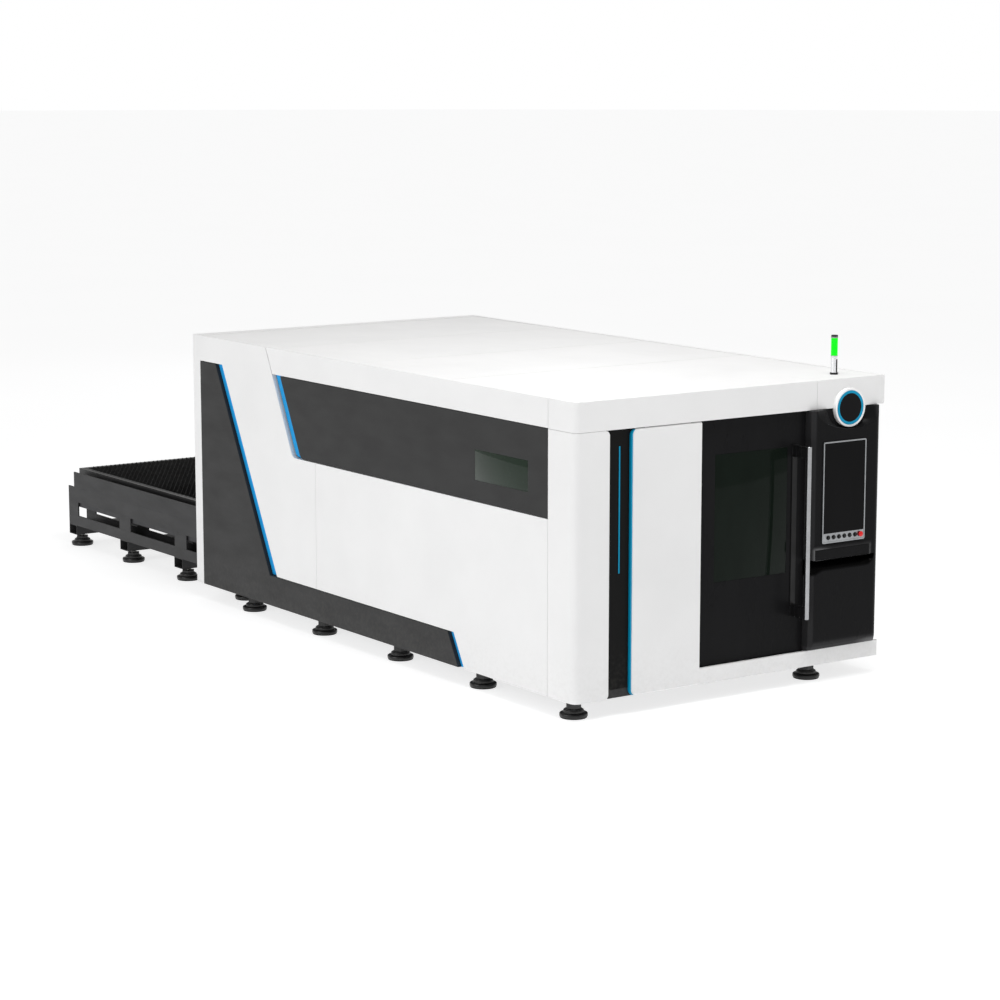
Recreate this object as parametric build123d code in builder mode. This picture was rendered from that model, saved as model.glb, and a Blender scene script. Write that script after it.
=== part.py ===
from build123d import *

import os

os.makedirs("parts", exist_ok=True)

# An enclosed laser cutter for sheet metal, with an exchange table behind it.
# Millimetres. X runs across the machine, Y from the operator's end to the table, Z up.
# The origin is on the floor, under the middle of the whole machine.

# Overall sizes
machine_width = 2820.0
machine_height = 2230.0
enclosure_length = 5390.0
table_overhang = 2895.0
floor_gap = 130.0

# Sheets, panels and tubes
front_sheet = 22.0
side_panel = 40.0
roof_sheet = 26.0
frame_tube = 50.0
seam = 6.0
cap_gap = 2.0
header_depth = 110.0
front_tube_height = 60.0
roof_seam_ys = (1590.0, 2845.0, 4090.0)
side_seam_ys = (1590.0, 3430.0)
seam_depth = 4.0
weld_gap = 0.4
slide_gap = 0.3

# Cap that runs round the top of the operator's end
cap_height = 210.0
cap_depth = 316.0
cap_radius = 55.0
console_cap_width = 659.0

# Operator's end, widths from left to right
corner_width = 294.0
corner_edge_radius = 35.0
front_panel_start = 492.0
front_panel_end = 1102.0
front_panel_radius = 40.0
front_trim_width = 12.0
front_trim_wrap = 20.0
front_panel_edge = 14.0
strip_thickness = 8.0
strip_overlap = 30.0
light_line_width = 10.0
light_line_thickness = 4.0
light_line_bottom = 1010.0
light_line_drop = 120.0
sill_height = 117.0
sill_end_inset = 20.0
sill_edge_radius = 12.0

# Console
console_width = 657.0
console_end_margin = 75.0
console_reach = 57.0
console_depth = 170.0
console_edge_radius = 31.0
console_corner_radius = 57.0
console_toe_height = 62.0
console_toe_depth = 24.0
console_toe_gap = 8.0
cap_edge_radius = 14.0
scoop_half_width = 334.0
scoop_half_height = 150.0
scoop_floor_half_width = 190.0
scoop_floor_gap = 4.0

# Screen and controls
screen_inset = 90.0
screen_width = 410.0
screen_bottom = 1042.0
screen_top_drop = 443.0
screen_frame_width = 10.0
screen_frame_proud = 9.0
screen_corner_radius = 14.0
glass_proud = 5.0
button_panel_height = 62.0
button_panel_proud = 7.0
button_count = 6
button_pitch = 51.8
button_inset = 59.0
button_radius = 12.0
button_cap = 7.0
button_travel = 3.0
button_stem_radius = 7.0
button_edge = 1.5
button_bore_depth = 30.0
stem_bite = 10.0
press_clearance = 1.0
stop_inset = 34.0
stop_radius = 20.0
stop_cap = 14.0
stop_stem_radius = 10.0
stop_travel = 5.0
bore_clearance = 0.05

# Keyboard drawer
drawer_inset = 36.0
drawer_width = 494.0
drawer_bottom = 930.0
drawer_height = 62.0
drawer_depth = 217.0
drawer_wall = 4.0
drawer_front_margin = 10.0
drawer_front_thickness = 12.0
drawer_side_gap = 2.0
drawer_front_drop = 4.0
hollow_lip = 6.0
hollow_wall = 18.0
hollow_height = 88.0
hollow_depth = 45.0
brow_height = 36.0
brow_reach = 15.0
brow_overhang = 40.0
key_rows = 5
key_columns = 15
key_size = 22.0
key_pitch = 28.0
key_rise = 6.0
keyboard_margin = 6.0
keyboard_thickness = 14.0
keyboard_inset = 9.0

# Badge
badge_inset = 362.0
badge_drop = 212.0
badge_radius = 143.0
badge_rim_width = 17.0
badge_thickness = 32.0
badge_face_depth = 2.0
badge_edge = 4.0

# Sliding door
door_recess = 34.0
door_thickness = 40.0
door_overlap = 40.0
door_side_gap = 6.0
door_bottom = 200.0
door_cap_overlap = 40.0
window_left_inset = 188.0
window_right_inset = 162.0
window_bottom = 845.0
window_top_drop = 465.0
window_glass = 8.0
guide_width = 10.0
guide_height = 22.0
guide_clearance = 1.0
guide_headroom = 3.0
track_height = 25.0
track_depth = 18.0
track_drop = 6.0
track_end_gap = 10.0
hanger_width = 100.0
hanger_plate = 12.0
hanger_jaw = 10.0
hanger_drop = 230.0
hanger_inset = 100.0

# Door handle
handle_inset = 98.0
handle_plate_width = 45.0
handle_plate_thickness = 8.0
handle_bottom = 518.0
handle_length = 1262.0
handle_diameter = 38.0
handle_reach = 162.0
standoff_height = 84.0
standoff_width = 42.0
standoff_neck = 10.0
standoff_inset = 4.0
bar_end_chamfer = 2.0

# Left side: a white panel shaped like a lightning stroke between dark fields
band_drop = 843.0
band_rear_at_bottom = 3778.0
band_slope = 0.488
band_corner_radius = 70.0
band_groove = 127.0
rear_field_bottom_y = 4047.0
rear_field_slope = 0.52
rear_groove = 118.0
skirt_top = 380.0
skirt_front_y = 1352.0
skirt_slope = 0.56
skirt_groove = 83.0
rear_strip_depth = 118.0
rear_strip_width = 60.0
groove_plate = 4.0
accent_thickness = 4.0
accent_margin = 10.0
side_window_start = 555.0
side_window_length = 658.0
side_window_drop = 462.0
side_window_height = 223.0
side_window_depth = 22.0

# Bed under the gantry
bed_start = 180.0
bed_end = 4880.0
bed_axis = 1180.0
bed_gauge = 1910.0
bed_beam_width = 120.0
bed_beam_bottom = 165.0
bed_beam_top = 860.0
bed_window_length = 500.0
bed_window_height = 220.0
bed_window_count = 5
cross_tube_width = 150.0
cross_tube_height = 155.0
foot_plate = 25.0
foot_plate_length = 180.0
machine_foot_first = 163.0
machine_foot_pitch = 1114.0
machine_foot_count = 5
machine_foot_inset = 115.0

# Levelling feet
foot_radius = 100.0
foot_pad = 36.0
foot_edge = 7.0
foot_collar_radius = 74.0
foot_collar_height = 22.0
foot_nut_radius = 58.0
foot_stem_radius = 24.0
foot_neck = 12.0

# Passage through the rear wall
passage_top = 1000.0
passage_margin = 14.0
rear_wall_thickness = 30.0
rear_wall_inset = 20.0

# Exchange table
table_start = 5040.0
table_bottom = 189.0
table_top = 689.0
table_web = 12.0
table_frame_depth = 190.0
inner_web_strip = 20.0
table_notch_length = 115.0
table_notch_height = 140.0
slot_bottom = 285.0
slot_height = 125.0
slot_rib = 214.0
slot_end_margin = 95.0
slot_first_inset = 190.0
slot_count = 3
table_tube_height = 90.0
table_tube_width = 150.0
table_tube_wall = 6.0
table_tube_count = 4
table_foot_offset = 50.0
table_foot_inset = 68.0

# Pallets and their rails
level_drop = 170.0
pallet_rail_top = 590.0
pallet_rail_width = 60.0
pallet_rail_drop = 50.0
pallet_rail_thickness = 8.0
pallet_side_gap = 75.0
pallet_end_inset = 80.0
pallet_start_inset = 30.0
rail_lead = 70.0
pallet_travel = 4400.0
pallet_frame_width = 60.0
pallet_frame_height = 114.0
pallet_frame_lift = 10.0
slat_bottom_lift = 45.0
slat_height = 95.0
slat_thickness = 5.0
slat_pitch = 120.0
slat_end_margin = 30.0
tooth_count = 12
tooth_depth = 32.0
wheel_radius = 34.7
wheel_width = 30.0
wheel_inset = 6.0
axle_radius = 15.0
axle_end_distance = 420.0

# Gantry
rail_width = 40.0
rail_height = 26.0
rail_end_gap = 20.0
gantry_rest = 2000.0
truck_width = 90.0
truck_length = 520.0
truck_height = 62.0
truck_lift = 8.0
gusset_drop = 60.0
gantry_depth = 280.0
gantry_height = 260.0
cross_rail_size = 22.0
cross_rail_reach = 18.0
cross_rail_inset = 55.0
cross_rail_end_gap = 20.0
carriage_gap = 2.0
carriage_block_inset = 20.0
carriage_width = 300.0
carriage_thickness = 46.0
carriage_plate = 20.0
carriage_plate_drop = 50.0
carriage_plate_rise = 230.0
lift_rail_width = 22.0
lift_rail_reach = 14.0
lift_rail_spread = 130.0
slide_width = 220.0
slide_height = 260.0
slide_thickness = 42.0
slide_rest_lift = 100.0
head_width = 110.0
head_height = 210.0
head_lift_gap = 30.0
head_chamfer = 18.0
nozzle_tip_z = 850.0
nozzle_tip_radius = 4.0
nozzle_neck_radius = 17.0
nozzle_collar_radius = 21.0
nozzle_cone_height = 14.0
nozzle_height = 22.0
lens_tube_radius = 42.0
lens_tube_length = 90.0

# Signal tower
tower_inset = 297.0
tower_y = 232.0
tower_radius = 25.0
tower_base_radius = 30.0
tower_base_height = 14.0
tower_body_height = 122.0
tower_lens_height = 134.0
tower_cap_height = 20.0
tower_body_step = 1.0

# Places that follow from the sizes
front_reach = handle_reach - door_recess + handle_diameter / 2
total_length = front_reach + enclosure_length + table_overhang
left = -machine_width / 2
right = machine_width / 2
front = -total_length / 2 + front_reach
rear = front + enclosure_length
table_end = rear + table_overhang
cap_bottom = machine_height - cap_height
roof_bottom = machine_height - roof_sheet
rear_strip_start = rear - rear_strip_depth
side_start = front + cap_depth
half_seam = seam / 2
side_panel_start = side_start + half_seam
panel_top = cap_bottom - cap_gap
bed_middle = left + bed_axis
console_left = right - console_end_margin - console_width
console_right = right - console_end_margin
screen_x = (console_left + screen_inset, console_left + screen_inset + screen_width)
screen_height = machine_height - screen_top_drop - screen_bottom
door_top = cap_bottom + door_cap_overlap
window_top = machine_height - window_top_drop
light_line_top = cap_bottom - light_line_drop
band_bottom = machine_height - band_drop
badge_x = right - badge_inset
badge_z = machine_height - badge_drop
table_low_y = front + table_start
table_length = table_end - table_low_y
pallet_length = table_length - pallet_end_inset - pallet_start_inset


def facing_front(y):
    """Plane across the machine at y, drawn in X and Z, whose normal points at the operator."""
    return Plane(origin=(0, y, 0), x_dir=(1, 0, 0), z_dir=(0, -1, 0))


def facing_right(x):
    """Plane along the machine at x, drawn in Y and Z, whose normal points to +X."""
    return Plane(origin=(x, 0, 0), x_dir=(0, 1, 0), z_dir=(1, 0, 0))


def block(x_limits, y_limits, z_limits, mode=Mode.ADD):
    """Add a rectangular block between pairs of limits to the part that is being built."""
    limits = (x_limits, y_limits, z_limits)
    middle = [(low + high) / 2 for low, high in limits]
    sizes = [high - low for low, high in limits]
    with Locations(tuple(middle)):
        Box(*sizes, mode=mode)


def save(builder, name):
    """Label a finished piece and write it as its own STEP file."""
    builder.part.label = name
    export_step(builder.part, f"parts/{name}.step")


# Bed: two long welded beams with windows, joined by cross tubes under the pallets
bed_low_y = front + bed_start
bed_high_y = front + bed_end
beam_faces = (bed_gauge / 2, bed_gauge / 2 + bed_beam_width)
left_beam = (bed_middle - beam_faces[1], bed_middle - beam_faces[0])
right_beam = (bed_middle + beam_faces[0], bed_middle + beam_faces[1])
machine_foot_ys = [
    front + machine_foot_first + machine_foot_pitch * i for i in range(machine_foot_count)
]
bed_window_z = (bed_beam_bottom + bed_beam_top) / 2
machine_foot_xs = (left + machine_foot_inset, 2 * bed_middle - left - machine_foot_inset)
cross_tube_ys = [bed_low_y + cross_tube_width / 2] + machine_foot_ys[1:]

bed_chord_zs = (
    (bed_beam_bottom, bed_window_z - bed_window_height / 2),
    (bed_window_z + bed_window_height / 2, bed_beam_top),
)
bed_window_pitch = (bed_end - bed_start) / bed_window_count
bed_window_ys = [bed_low_y + bed_window_pitch * (i + 0.5) for i in range(bed_window_count)]
bed_post_lows = [bed_low_y, *[y + bed_window_length / 2 for y in bed_window_ys]]
bed_post_highs = [*[y - bed_window_length / 2 for y in bed_window_ys], bed_high_y]

with BuildPart() as bed_frame:
    for beam in (left_beam, right_beam):
        for chord in bed_chord_zs:
            block(beam, (bed_low_y, bed_high_y), chord)
        for post in zip(bed_post_lows, bed_post_highs):
            block(beam, post, (bed_chord_zs[0][1] + weld_gap, bed_chord_zs[1][0] - weld_gap))
    for y in cross_tube_ys:
        block(
            (left_beam[1] + weld_gap, right_beam[0] - weld_gap),
            (y - cross_tube_width / 2, y + cross_tube_width / 2),
            (bed_beam_bottom, bed_beam_bottom + cross_tube_height),
        )
    for y in machine_foot_ys:
        plate_y = max(y - foot_plate_length / 2, front + front_sheet + frame_tube + weld_gap)
        plate_z = (bed_beam_bottom - foot_plate, bed_beam_bottom - weld_gap)
        block((left + side_panel + frame_tube + weld_gap, left_beam[1]),
              (plate_y, y + foot_plate_length / 2), plate_z)
        block((right_beam[0], 2 * bed_middle - left - side_panel - frame_tube - weld_gap),
              (plate_y, y + foot_plate_length / 2), plate_z)
save(bed_frame, "bed_frame")

# Levelling feet under the bed and under the table
table_tube_pitch = (table_length - table_tube_width) / (table_tube_count - 1)
table_tube_ys = [
    table_end - table_tube_width / 2 - table_tube_pitch * i for i in range(table_tube_count)
]
table_web_left = (left_beam[1], left_beam[1] + table_web)
table_web_right = (right_beam[0] - table_web, right_beam[0])
table_tube_bottom = table_bottom - table_tube_height
table_foot_xs = (table_web_left[0] + table_foot_inset, table_web_right[1] - table_foot_inset)


collar_top = foot_pad + foot_collar_height


def foot(height):
    """Profile of a levelling foot: pad, collar, nut and stem, turned round its axis."""
    with BuildSketch(Plane.XZ) as profile:
        with BuildLine():
            Polyline(
                (0, 0),
                (foot_radius - foot_edge, 0),
                (foot_radius, foot_edge),
                (foot_radius, foot_pad - foot_edge),
                (foot_radius - foot_edge, foot_pad),
                (foot_collar_radius, foot_pad),
                (foot_collar_radius, collar_top),
                (foot_nut_radius, collar_top),
                (foot_nut_radius, height - foot_neck),
                (foot_stem_radius, height - foot_neck),
                (foot_stem_radius, height),
                (0, height),
                close=True,
            )
        make_face()
    return profile.sketch


with BuildPart() as machine_foot:
    revolve(foot(bed_beam_bottom - foot_plate), axis=Axis.Z)
with BuildPart() as table_foot:
    revolve(foot(table_tube_bottom), axis=Axis.Z)
with BuildPart() as leveling_feet:
    with Locations(*[(x, y, 0) for x in machine_foot_xs for y in machine_foot_ys]):
        add(machine_foot.part)
    with Locations(*[(x, y - table_foot_offset, 0) for x in table_foot_xs for y in table_tube_ys]):
        add(table_foot.part)
save(leveling_feet, "leveling_feet")

# Tube frame that carries the panels
header_y = front + header_depth
middle_posts = [front + y - frame_tube / 2 for y in roof_seam_ys]
left_posts = [header_y, *middle_posts, rear_strip_start - frame_tube]
right_posts = [side_start + seam, *middle_posts, rear_strip_start - frame_tube]
left_tube = (left + side_panel, left + side_panel + frame_tube)
right_tube = (right - side_panel - frame_tube, right - side_panel)
rail_z = (roof_bottom - frame_tube, roof_bottom)
front_tube = (front + front_sheet, front + front_sheet + frame_tube)
front_tube_top = floor_gap + front_tube_height

with BuildPart() as enclosure_frame:
    block((left_tube[0], right_tube[1]), front_tube, (floor_gap, front_tube_top))
    for tube, posts in ((left_tube, left_posts), (right_tube, right_posts)):
        block(tube, (front_tube[1] + weld_gap, rear_strip_start), (floor_gap, floor_gap + frame_tube))
        block(tube, (header_y, rear_strip_start), rail_z)
        for y in posts:
            block(
                tube,
                (y, y + frame_tube),
                (floor_gap + frame_tube + weld_gap, rail_z[0] - weld_gap),
            )
    for y in left_posts:
        block((left_tube[1] + weld_gap, right_tube[0] - weld_gap), (y, y + frame_tube), rail_z)
save(enclosure_frame, "enclosure_frame")

# White corner column at the front left
with BuildPart() as corner_column:
    with BuildSketch(Plane.XY.offset(floor_gap)):
        with BuildLine():
            Polyline(
                (left, front),
                (left + corner_width, front),
                (left + corner_width, front + front_sheet),
                (left + side_panel, front + front_sheet),
                (left + side_panel, side_start),
                (left, side_start),
                close=True,
            )
        make_face()
    extrude(amount=panel_top - floor_gap)
    fillet(
        corner_column.edges().filter_by(Axis.Z).group_by(Axis.X)[0].sort_by(Axis.Y)[0],
        cap_radius,
    )
    fillet(corner_column.edges().filter_by(Axis.Y).group_by(Axis.X)[-1], corner_edge_radius)
save(corner_column, "corner_column")

# Black recessed strip beside the column, with a thin line of light
strip_x = (left + corner_width - strip_overlap, left + front_panel_start + strip_overlap)
with BuildPart() as front_strip:
    block(
        strip_x,
        (front + front_sheet, front + front_sheet + strip_thickness),
        (front_tube_top + weld_gap, panel_top),
    )
save(front_strip, "front_strip")

# White panel beside the door, with a blue trim round its left edge
with BuildPart() as front_panel:
    with BuildSketch(facing_front(front + front_sheet)) as white_outline:
        with BuildLine():
            Polyline(
                (left + front_panel_start, floor_gap),
                (left + front_panel_end, floor_gap),
                (left + front_panel_end, cap_bottom - seam),
                (left + front_panel_start, cap_bottom - seam),
                close=True,
            )
        make_face()
        fillet(white_outline.vertices().group_by(Axis.X)[0], front_panel_radius)
    extrude(amount=front_sheet)
    fillet(
        front_panel.edges().group_by(Axis.Y)[0].sort_by(Axis.X)[:3],
        front_panel_edge,
    )
save(front_panel, "front_panel")

light_line_x = (left + corner_width + left + front_panel_start) / 2
with BuildPart() as front_accents:
    with BuildSketch(facing_front(front + front_sheet)) as trim_outline:
        with BuildLine():
            Polyline(
                (left + front_panel_start - front_trim_width, floor_gap),
                (left + front_panel_start + front_panel_radius, floor_gap),
                (left + front_panel_start + front_panel_radius, cap_bottom - seam),
                (left + front_panel_start - front_trim_width, cap_bottom - seam),
                close=True,
            )
        make_face()
        fillet(
            trim_outline.vertices().group_by(Axis.X)[0],
            front_panel_radius + front_trim_width / 2,
        )
        add(white_outline.sketch_local, mode=Mode.SUBTRACT)
    extrude(amount=front_sheet)
    block(
        (left + front_panel_start + front_trim_wrap, left + front_panel_end),
        (front, front + front_sheet),
        (floor_gap, cap_bottom),
        mode=Mode.SUBTRACT,
    )
    block(
        (light_line_x - light_line_width / 2, light_line_x + light_line_width / 2),
        (front + front_sheet - light_line_thickness, front + front_sheet),
        (light_line_bottom, light_line_top),
    )
save(front_accents, "front_accents")

# White sill under the door and the console
with BuildPart() as base_sill:
    block(
        (left + front_panel_end, right - sill_end_inset),
        (front, front + front_sheet),
        (floor_gap, floor_gap + sill_height),
    )
    fillet(
        base_sill.edges().filter_by(Axis.Z).group_by(Axis.X)[-1].sort_by(Axis.Y)[0],
        sill_edge_radius,
    )
save(base_sill, "base_sill")

# Cap in two lengths: hollow mouldings, open below and behind
cap_split = right - console_cap_width
with BuildPart() as front_cap:
    block((left, cap_split), (front, side_start), (cap_bottom, machine_height))
    fillet(
        front_cap.edges().filter_by(Axis.Z).group_by(Axis.X)[0].sort_by(Axis.Y)[0],
        cap_radius,
    )
    block(
        (left + side_panel, cap_split),
        (front + front_sheet, side_start),
        (cap_bottom, roof_bottom),
        mode=Mode.SUBTRACT,
    )
save(front_cap, "front_cap")

with BuildPart() as console_cap:
    block((cap_split + cap_gap, right), (front, side_start), (cap_bottom, machine_height))
    fillet(
        console_cap.edges().filter_by(Axis.Z).group_by(Axis.X)[-1].sort_by(Axis.Y)[0],
        cap_edge_radius,
    )
    block(
        (cap_split + cap_gap, right - side_panel),
        (front + front_sheet, side_start),
        (cap_bottom, roof_bottom),
        mode=Mode.SUBTRACT,
    )
save(console_cap, "console_cap")

# Round badge, left blank: a white rim and a dark face
with BuildPart() as badge_rim:
    with BuildSketch(facing_front(front)):
        with Locations((badge_x, badge_z)):
            Circle(badge_radius)
            Circle(badge_radius - badge_rim_width, mode=Mode.SUBTRACT)
    extrude(amount=badge_thickness)
    chamfer(badge_rim.edges().group_by(Axis.Y)[0].sort_by(SortBy.RADIUS)[-1], badge_edge)
save(badge_rim, "badge_rim")

with BuildPart() as badge_face:
    with BuildSketch(facing_front(front)):
        with Locations((badge_x, badge_z)):
            Circle(badge_radius - badge_rim_width - slide_gap)
    extrude(amount=badge_thickness - badge_face_depth)
save(badge_face, "badge_face")

# Console moulding: a tall housing with a scoop round the badge, a brow, a drawer bay and a
# hollow under it
console_face = front - console_reach
console_back = front + console_depth
toe_bottom = floor_gap + sill_height + console_toe_gap
bay_x = (console_left + drawer_inset, console_left + drawer_inset + drawer_width)
bay_z = (drawer_bottom, drawer_bottom + drawer_height)
button_z = screen_bottom + screen_frame_width + button_panel_height / 2
button_xs = [screen_x[0] + button_inset + button_pitch * i for i in range(button_count)]
stop_x = screen_x[1] - screen_frame_width - stop_inset
hollow_top = bay_z[0] - hollow_lip
hollow_back = console_face + hollow_depth
brow_z = bay_z[1] + drawer_front_margin

with BuildPart() as console_body:
    with BuildSketch(facing_right(console_left)):
        with BuildLine():
            Polyline(
                (console_back, front_tube_top),
                (front + front_sheet, front_tube_top),
                (front + front_sheet, toe_bottom),
                (console_face + console_toe_depth, toe_bottom),
                (console_face, toe_bottom + console_toe_height),
                (console_face, panel_top),
                (console_back, panel_top),
                close=True,
            )
        make_face()
    extrude(amount=console_width)
    upright_edges = console_body.edges().filter_by(Axis.Z).group_by(Axis.Y)[0]
    fillet(upright_edges.sort_by(Axis.X)[0], console_edge_radius)
    fillet(
        console_body.edges().filter_by(Axis.Z).group_by(Axis.Y)[0].sort_by(Axis.X)[-1],
        console_corner_radius,
    )
    with BuildSketch(facing_front(front)):
        with Locations((badge_x, badge_z)):
            Ellipse(scoop_floor_half_width, badge_radius + scoop_floor_gap)
    with BuildSketch(facing_front(console_face)):
        with Locations((badge_x, badge_z)):
            Ellipse(scoop_half_width, scoop_half_height)
    loft(mode=Mode.SUBTRACT)
    with BuildSketch(facing_right(console_left)):
        with BuildLine():
            Polyline(
                (console_face, hollow_top),
                (hollow_back, hollow_top),
                (hollow_back, hollow_top - hollow_wall),
            )
            ThreePointArc(
                (hollow_back, hollow_top - hollow_wall),
                (console_face + hollow_depth * 0.7, bay_z[0] - hollow_height * 0.68),
                (console_face, bay_z[0] - hollow_height),
            )
            Line((console_face, bay_z[0] - hollow_height), (console_face, hollow_top))
        make_face()
    extrude(amount=console_width - console_corner_radius, mode=Mode.SUBTRACT)
    with BuildSketch(facing_right(bay_x[0] - drawer_front_margin)):
        with BuildLine():
            Polyline(
                (console_face, brow_z),
                (console_face - brow_reach, brow_z),
                (console_face, brow_z + brow_height),
                close=True,
            )
        make_face()
    extrude(amount=drawer_width + drawer_front_margin + brow_overhang)
    block(bay_x, (console_face, console_face + drawer_depth), bay_z, mode=Mode.SUBTRACT)
    with Locations(
        *[facing_front(console_face) * Location((x, button_z, 0)) for x in button_xs]
    ):
        Hole(button_stem_radius + bore_clearance, depth=button_bore_depth)
    with Locations(facing_front(console_face) * Location((stop_x, button_z, 0))):
        Hole(stop_stem_radius + bore_clearance, depth=button_bore_depth)
save(console_body, "console_body")

# Screen: silver frame, black glass and a silver button panel below it
screen_middle = (sum(screen_x) / 2, screen_bottom + screen_height / 2)
inner_width = screen_width - 2 * screen_frame_width
inner_height = screen_height - 2 * screen_frame_width
inner_x = (screen_x[0] + screen_frame_width, screen_x[1] - screen_frame_width)
inner_bottom = screen_bottom + screen_frame_width
button_panel_top = inner_bottom + button_panel_height

with BuildPart() as screen_frame:
    with BuildSketch(facing_front(console_face)):
        with Locations(screen_middle):
            RectangleRounded(screen_width, screen_height, screen_corner_radius)
            Rectangle(inner_width, inner_height, mode=Mode.SUBTRACT)
    extrude(amount=screen_frame_proud)
save(screen_frame, "screen_frame")

with BuildPart() as touch_screen:
    block(
        inner_x,
        (console_face - glass_proud, console_face),
        (button_panel_top + weld_gap, inner_bottom + inner_height),
    )
save(touch_screen, "touch_screen")

with BuildPart() as button_panel:
    block(
        inner_x,
        (console_face - button_panel_proud, console_face),
        (inner_bottom, button_panel_top),
    )
    with Locations(
        *[facing_front(console_face) * Location((x, button_z, 0)) for x in button_xs]
    ):
        Hole(button_stem_radius + bore_clearance)
    with Locations(facing_front(console_face) * Location((stop_x, button_z, 0))):
        Hole(stop_stem_radius + bore_clearance)
save(button_panel, "button_panel")


def push_button(x, radius, thickness, stem_radius, travel):
    """A cap on a stem, standing off the button panel by its travel and a little more."""
    cap_back = console_face - button_panel_proud - travel - press_clearance
    with BuildPart() as button:
        with BuildSketch(facing_front(cap_back)):
            with Locations((x, button_z)):
                Circle(radius)
        extrude(amount=thickness)
        chamfer(button.edges().group_by(Axis.Y)[0], button_edge)
        with BuildSketch(facing_front(cap_back)):
            with Locations((x, button_z)):
                Circle(stem_radius)
        extrude(amount=-(travel + press_clearance + button_panel_proud + stem_bite))
    return button


for number, x in enumerate(button_xs, start=1):
    button = push_button(x, button_radius, button_cap, button_stem_radius, button_travel)
    save(button, f"control_button_{number}")
emergency_stop = push_button(stop_x, stop_radius, stop_cap, stop_stem_radius, stop_travel)
save(emergency_stop, "emergency_stop")

# Keyboard drawer in the console
tray_x = (bay_x[0] + drawer_side_gap, bay_x[1] - drawer_side_gap)
tray_z = (bay_z[0] + slide_gap, bay_z[1] - drawer_side_gap)
tray_y = (console_face - slide_gap, console_face + drawer_depth - drawer_side_gap)

with BuildPart() as keyboard_drawer:
    block(tray_x, tray_y, tray_z)
    block(
        (tray_x[0] + drawer_wall, tray_x[1] - drawer_wall),
        (tray_y[0], tray_y[1] - drawer_wall),
        (tray_z[0] + drawer_wall, tray_z[1]),
        mode=Mode.SUBTRACT,
    )
    block(
        (bay_x[0] - drawer_front_margin, bay_x[1] + drawer_front_margin),
        (console_face - drawer_front_thickness, tray_y[0]),
        (bay_z[0] - drawer_front_drop, brow_z - drawer_side_gap),
    )
save(keyboard_drawer, "keyboard_drawer")

keys_width = key_pitch * key_columns
keys_depth = key_pitch * key_rows
keys_x = sum(tray_x) / 2
keys_y = tray_y[0] + keyboard_inset + keyboard_margin + keys_depth / 2
keyboard_bottom = tray_z[0] + drawer_wall
keys_z = keyboard_bottom + keyboard_thickness + key_rise / 2
with BuildPart() as keyboard:
    with Locations((keys_x, keys_y, keyboard_bottom + keyboard_thickness / 2)):
        Box(keys_width + 2 * keyboard_margin, keys_depth + 2 * keyboard_margin, keyboard_thickness)
    with Locations((keys_x, keys_y, keys_z)):
        with GridLocations(key_pitch, key_pitch, key_columns, key_rows):
            Box(key_size, key_size, key_rise)
save(keyboard, "keyboard")

# Sliding door: leaf, window, hangers, track and floor guide
leaf_y = (front + door_recess, front + door_recess + door_thickness)
leaf_x = (left + front_panel_end - door_overlap, console_left - door_side_gap)
window_x = (leaf_x[0] + window_left_inset, leaf_x[1] - window_right_inset)
leaf_middle_y = sum(leaf_y) / 2
guide_y = (leaf_middle_y - guide_width / 2, leaf_middle_y + guide_width / 2)
track_y = (header_y - track_depth, header_y)
track_z = (rail_z[0] + track_drop, rail_z[0] + track_drop + track_height)
hanger_top = track_z[1] + slide_gap + hanger_jaw
hanger_toe = track_z[0] - slide_gap - hanger_plate
hanger_back = track_y[1] - track_drop

with BuildPart() as door_leaf:
    block(leaf_x, leaf_y, (door_bottom, door_top))
    block(window_x, leaf_y, (window_bottom, window_top), mode=Mode.SUBTRACT)
    block(
        leaf_x,
        (guide_y[0] - guide_clearance, guide_y[1] + guide_clearance),
        (door_bottom, front_tube_top + guide_height + guide_headroom),
        mode=Mode.SUBTRACT,
    )
save(door_leaf, "door_leaf")

with BuildPart() as door_glass:
    block(
        window_x,
        (leaf_middle_y - window_glass / 2, leaf_middle_y + window_glass / 2),
        (window_bottom, window_top),
    )
save(door_glass, "door_glass")

hanger_xs = (leaf_x[0] + hanger_inset, leaf_x[1] - hanger_inset - hanger_width)
with BuildPart() as door_hangers:
    for x in hanger_xs:
        with BuildSketch(facing_right(x)):
            with BuildLine():
                Polyline(
                    (leaf_y[1], hanger_top - hanger_drop),
                    (leaf_y[1] + hanger_plate, hanger_top - hanger_drop),
                    (leaf_y[1] + hanger_plate, hanger_toe),
                    (hanger_back, hanger_toe),
                    (hanger_back, track_z[0] - slide_gap),
                    (leaf_y[1] + hanger_plate, track_z[0] - slide_gap),
                    (leaf_y[1] + hanger_plate, track_z[1] + slide_gap),
                    (hanger_back, track_z[1] + slide_gap),
                    (hanger_back, hanger_top),
                    (leaf_y[1], hanger_top),
                    close=True,
                )
            make_face()
        extrude(amount=hanger_width)
save(door_hangers, "door_hangers")

with BuildPart() as door_tracks:
    block((left_tube[1] + track_end_gap, console_right), track_y, track_z)
    block(
        (left_tube[1] + track_end_gap, leaf_x[1]),
        guide_y,
        (front_tube_top, front_tube_top + guide_height),
    )
save(door_tracks, "door_tracks")

# Door handle: backing plate, two stepped stand-offs and a round bar
bar_x = leaf_x[1] - handle_inset
bar_y = leaf_y[0] - handle_reach
bar_z = (handle_bottom, handle_bottom + handle_length)
plate_front = leaf_y[0] - handle_plate_thickness
standoff_end = standoff_height / 2 + standoff_inset
standoff_zs = (bar_z[0] + standoff_end, bar_z[1] - standoff_end)
standoff_span = plate_front - bar_y
block_length = (standoff_span - 2 * standoff_neck) / 3

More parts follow.
